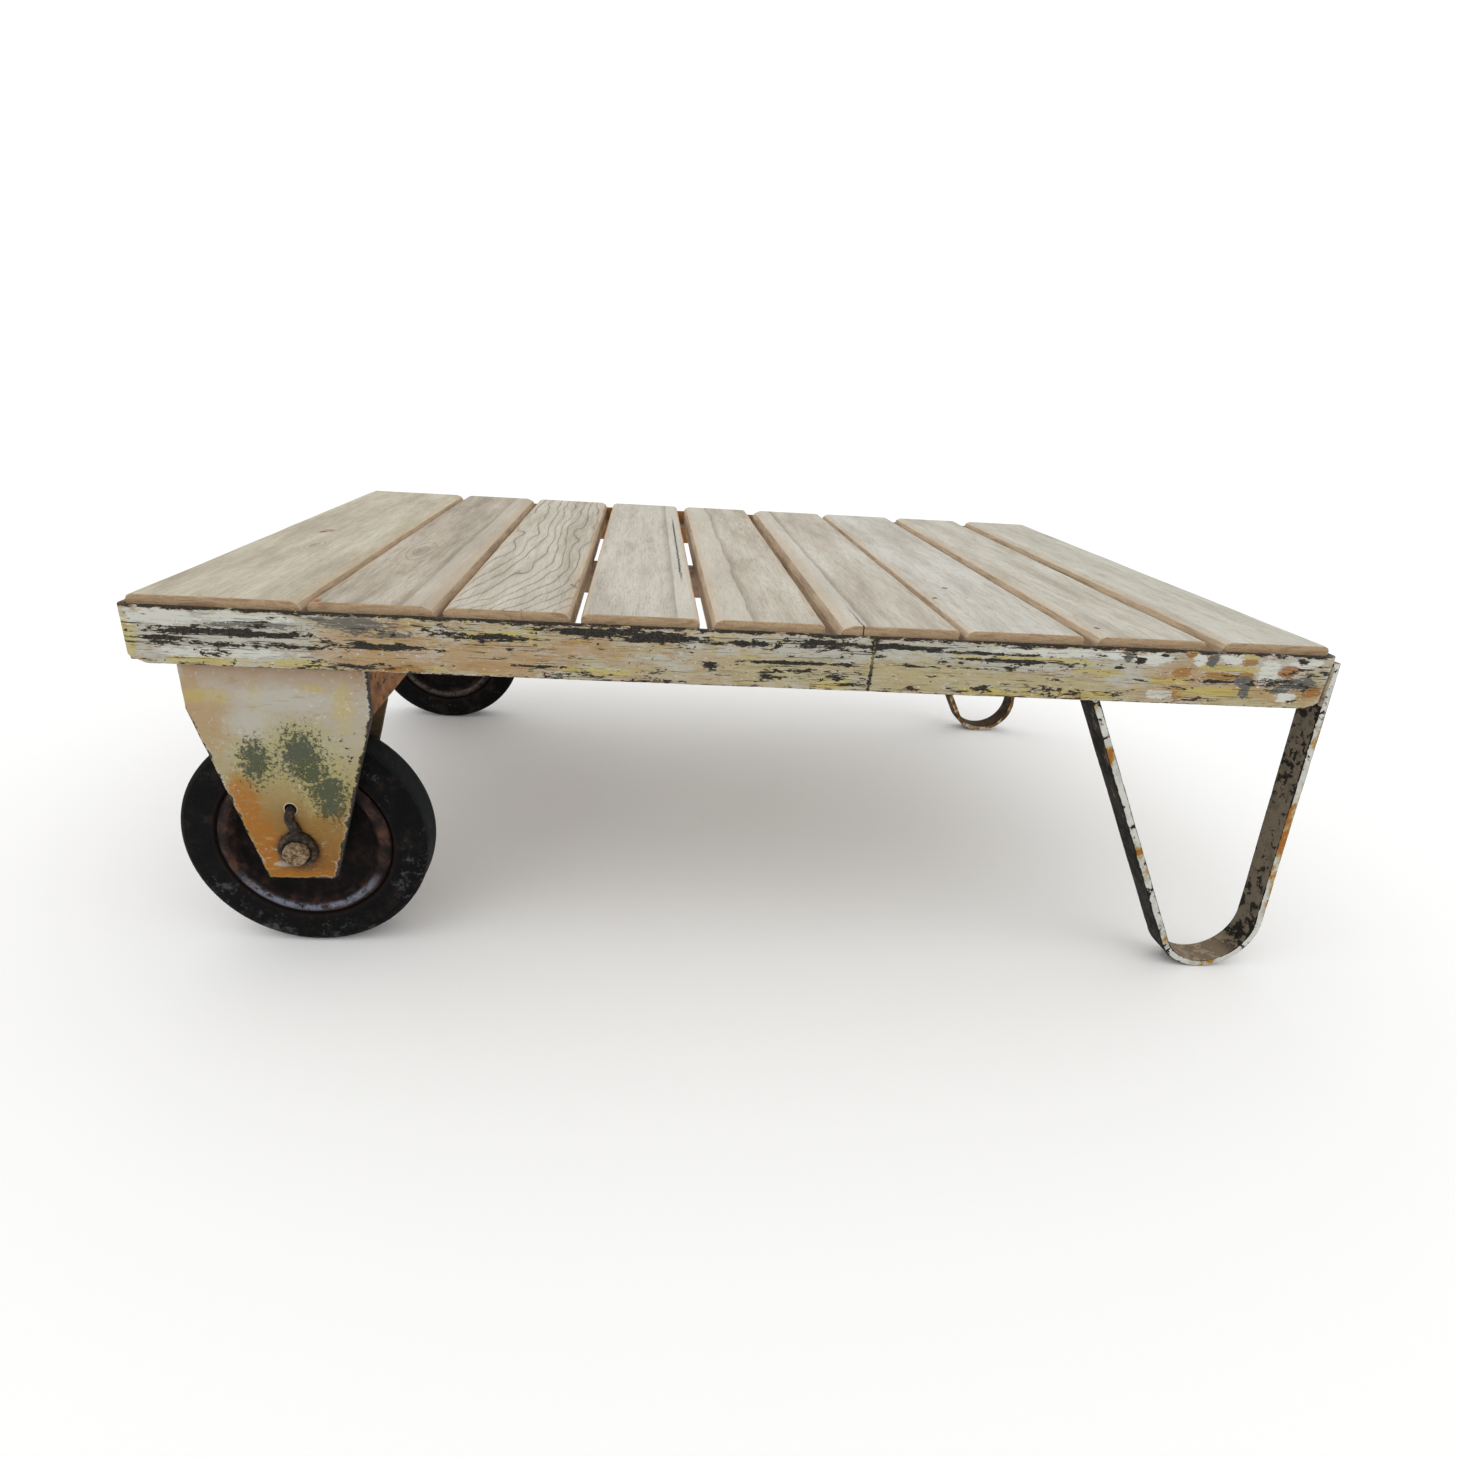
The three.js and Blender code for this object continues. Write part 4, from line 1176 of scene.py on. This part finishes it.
def build_wheel(side):
    body = f"{side}_wheel"
    axle, seed = side_of(side)
    tyre = rounded_outline(in_metres(mirrored(HALF_TYRE) + HALF_TYRE), 4, 6 * MM)
    cover_turned(f"{side}_tyre", tyre, axle, 144, rubber(f"{side}_rubber", 120 + seed, axle),
                 "black_rubber", body)
    # The lip's worn steel colour, which also carries its painted highlight
    lip_highlight_steel = "707480" if side == "front" else "4c4a44"
    rust = rusty_rim(f"{side}_rim_rust", 130 + seed, axle, 80.5 * MM, lip_highlight_steel)
    rims = (mirrored(RIM), RIM) if side == "front" else (RIM, mirrored(RIM))
    for place, rim in zip(("outer", "inner"), rims):
        cover_turned(f"{side}_{place}_rim", rounded_outline(in_metres(rim), 4, 5 * MM), axle, 144,
                     rust, "rusty_rim", body)
    cover_ring(f"{side}_hub", 16.3 * MM, 20 * MM, axle, 64, small_steel, "washer_steel", body)
    for place in ("outer", "inner"):
        cover_ring(f"{side}_{place}_bush", BORE, 16 * MM, axle, 48, bronze, "bush_bronze", body)


# ---- Welds and screws ----

def weld(name, material, slot, runs):
    """Beads along runs (start, end, radius) as one piece."""
    bm = bmesh.new()
    for start, end, radius in runs:
        add_bead(bm, Vector(start), Vector(end), radius)
    piece(name, bm, material, slot)


def build_welds():
    material = dark_paint("weld_paint", 201, ("6e624e", "a0967e", "644e36"))
    arm_x = RIGHT + 0.8 * MM
    top = LEG_OUTER_TOP + 0.3 * MM
    runs = []
    for node in ("front_leg", "rear_leg"):
        low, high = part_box(node)
        runs += [((arm_x + 1.5 * MM, y, RAIL_BOTTOM + 2 * MM), (arm_x, y, top - 3.3 * MM), 2.4 * MM)
                 for y in (low.y - 0.3 * MM, high.y + 0.3 * MM)]
        runs.append(((arm_x, low.y + 3 * MM, top), (arm_x, high.y - 3 * MM, top), 2.2 * MM))
    weld("leg_welds", material, "leg_paint", runs)

    low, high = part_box("wheel_channel")
    level = LEDGE_UNDERSIDE - 0.8 * MM
    weld("channel_welds", material, "fork_paint", [
        ((x, y + inward * 14 * MM, level), (x, y + inward * 49 * MM, level), 2.6 * MM)
        for x in (low.x - 0.5 * MM, high.x + 0.5 * MM) for y, inward in FRAME_SIDES])

    runs = []
    for x, toward_x in ((LEFT, 1), (RIGHT, -1)):
        for y, toward_y in FRAME_SIDES:
            ends = [(x + toward_x * reach, y + toward_y * reach, LEDGE_UNDERSIDE)
                    for reach in (12 * MM, LEDGE_REACH - 2 * MM)]
            runs.append((*ends, 2.0 * MM))
    weld("ledge_welds", material, "rail_paint", runs)

    dark = dark_paint("rail_weld_paint", 211, (CHARCOAL, "4c4638", "96864c"))
    seam = (LEFT + FRONT_RAIL_WELD * MM, FRONT + 0.7 * MM)
    weld("rail_seam_weld", dark, "rail_paint", [
        ((*seam, RAIL_BOTTOM + 3 * MM), (*seam, RAIL_TOP - 3 * MM), 1.5 * MM)])


def add_screw(bm, centre, radius, height):
    """A domed head that points down."""
    rings = []
    for share, depth in ((1.0, 1.0), (1.0, 0.7), (0.85, 0.25), (0.55, 0.02), (0.12, 0.0)):
        rings.append([centre + Vector((point.x, point.y, height * (depth - 1)))
                      for point in circle(0, 0, radius * share, 24)])
    add_skin(bm, rings)


def build_screws():
    channel_low, channel_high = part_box("wheel_channel")
    bm = bmesh.new()
    inset_x = 26 * MM
    for index in range(len(SLATS)):
        low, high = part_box(f"slat_{index + 1}")
        for x in (low.x + inset_x, high.x - inset_x):
            if channel_low.x - 6 * MM < x < channel_high.x + 6 * MM:
                continue
            for y, inward in FRAME_SIDES:
                add_screw(bm, Vector((x, y + inward * 30 * MM, LEDGE_UNDERSIDE)), 5.5 * MM, 3 * MM)
    piece("slat_screws", bm, small_steel, "washer_steel")


# ---- Light, floor and camera ----

def build_studio():
    scene = bpy.context.scene
    scene.view_settings.view_transform = "Standard"
    world = bpy.data.worlds.new("studio")
    world.use_nodes = True
    backdrop = world.node_tree.nodes["Background"]
    backdrop.inputs["Color"].default_value = (1.0, 1.0, 1.0, 1.0)
    backdrop.inputs["Strength"].default_value = 1.0
    scene.world = world
    sun = bpy.data.lights.new("soft_sun", "SUN")
    sun.energy = 0.3
    sun.angle = math.radians(40)
    lamp = bpy.data.objects.new("soft_sun", sun)
    lamp.rotation_euler = Vector((0.6, 0.5, -1.2)).to_track_quat("-Z", "Y").to_euler()
    scene.collection.objects.link(lamp)

    bm = bmesh.new()
    bmesh.ops.create_grid(bm, x_segments=8, y_segments=8, size=12)
    pale = Surface("pale_floor", color="fcfcfb").finish(0.9, specular=0.0)
    floor = add_object("floor", bm, pale)


CAMERA_PLACE = (-0.12195, -1.08815, 0.58827)
CAMERA_YAW = 0.0654
CAMERA_PITCH = 0.4031
CAMERA_ROLL = -0.0623


def build_camera():
    data = bpy.data.cameras.new("camera")
    data.lens = 20.204
    data.sensor_width = 36.0
    data.shift_x, data.shift_y = 0.02892, -0.00075
    camera = bpy.data.objects.new("camera", data)
    camera.matrix_world = Matrix.Translation(CAMERA_PLACE) @ Matrix.Rotation(
        -CAMERA_YAW, 4, "Z") @ Matrix.Rotation(
        math.pi / 2 - CAMERA_PITCH, 4, "X") @ Matrix.Rotation(-CAMERA_ROLL, 4, "Z")
    bpy.context.scene.collection.objects.link(camera)
    bpy.context.scene.camera = camera


# ---- Assembly ----

small_steel = metal("dull_steel", 140, ("221e1c", "3e3832", "685c50"), 0.5, 0.7)
bronze = metal("bush_bronze", 150, ("5c4222", "8a6a3a", "a88854"), 0.42, 0.9)

build_camera()
build_studio()
build_rails()
build_bearers()
build_deck()
build_legs()
for side in ("front", "rear"):
    build_fork(side)
    build_wheel(side)
build_welds()
build_screws()
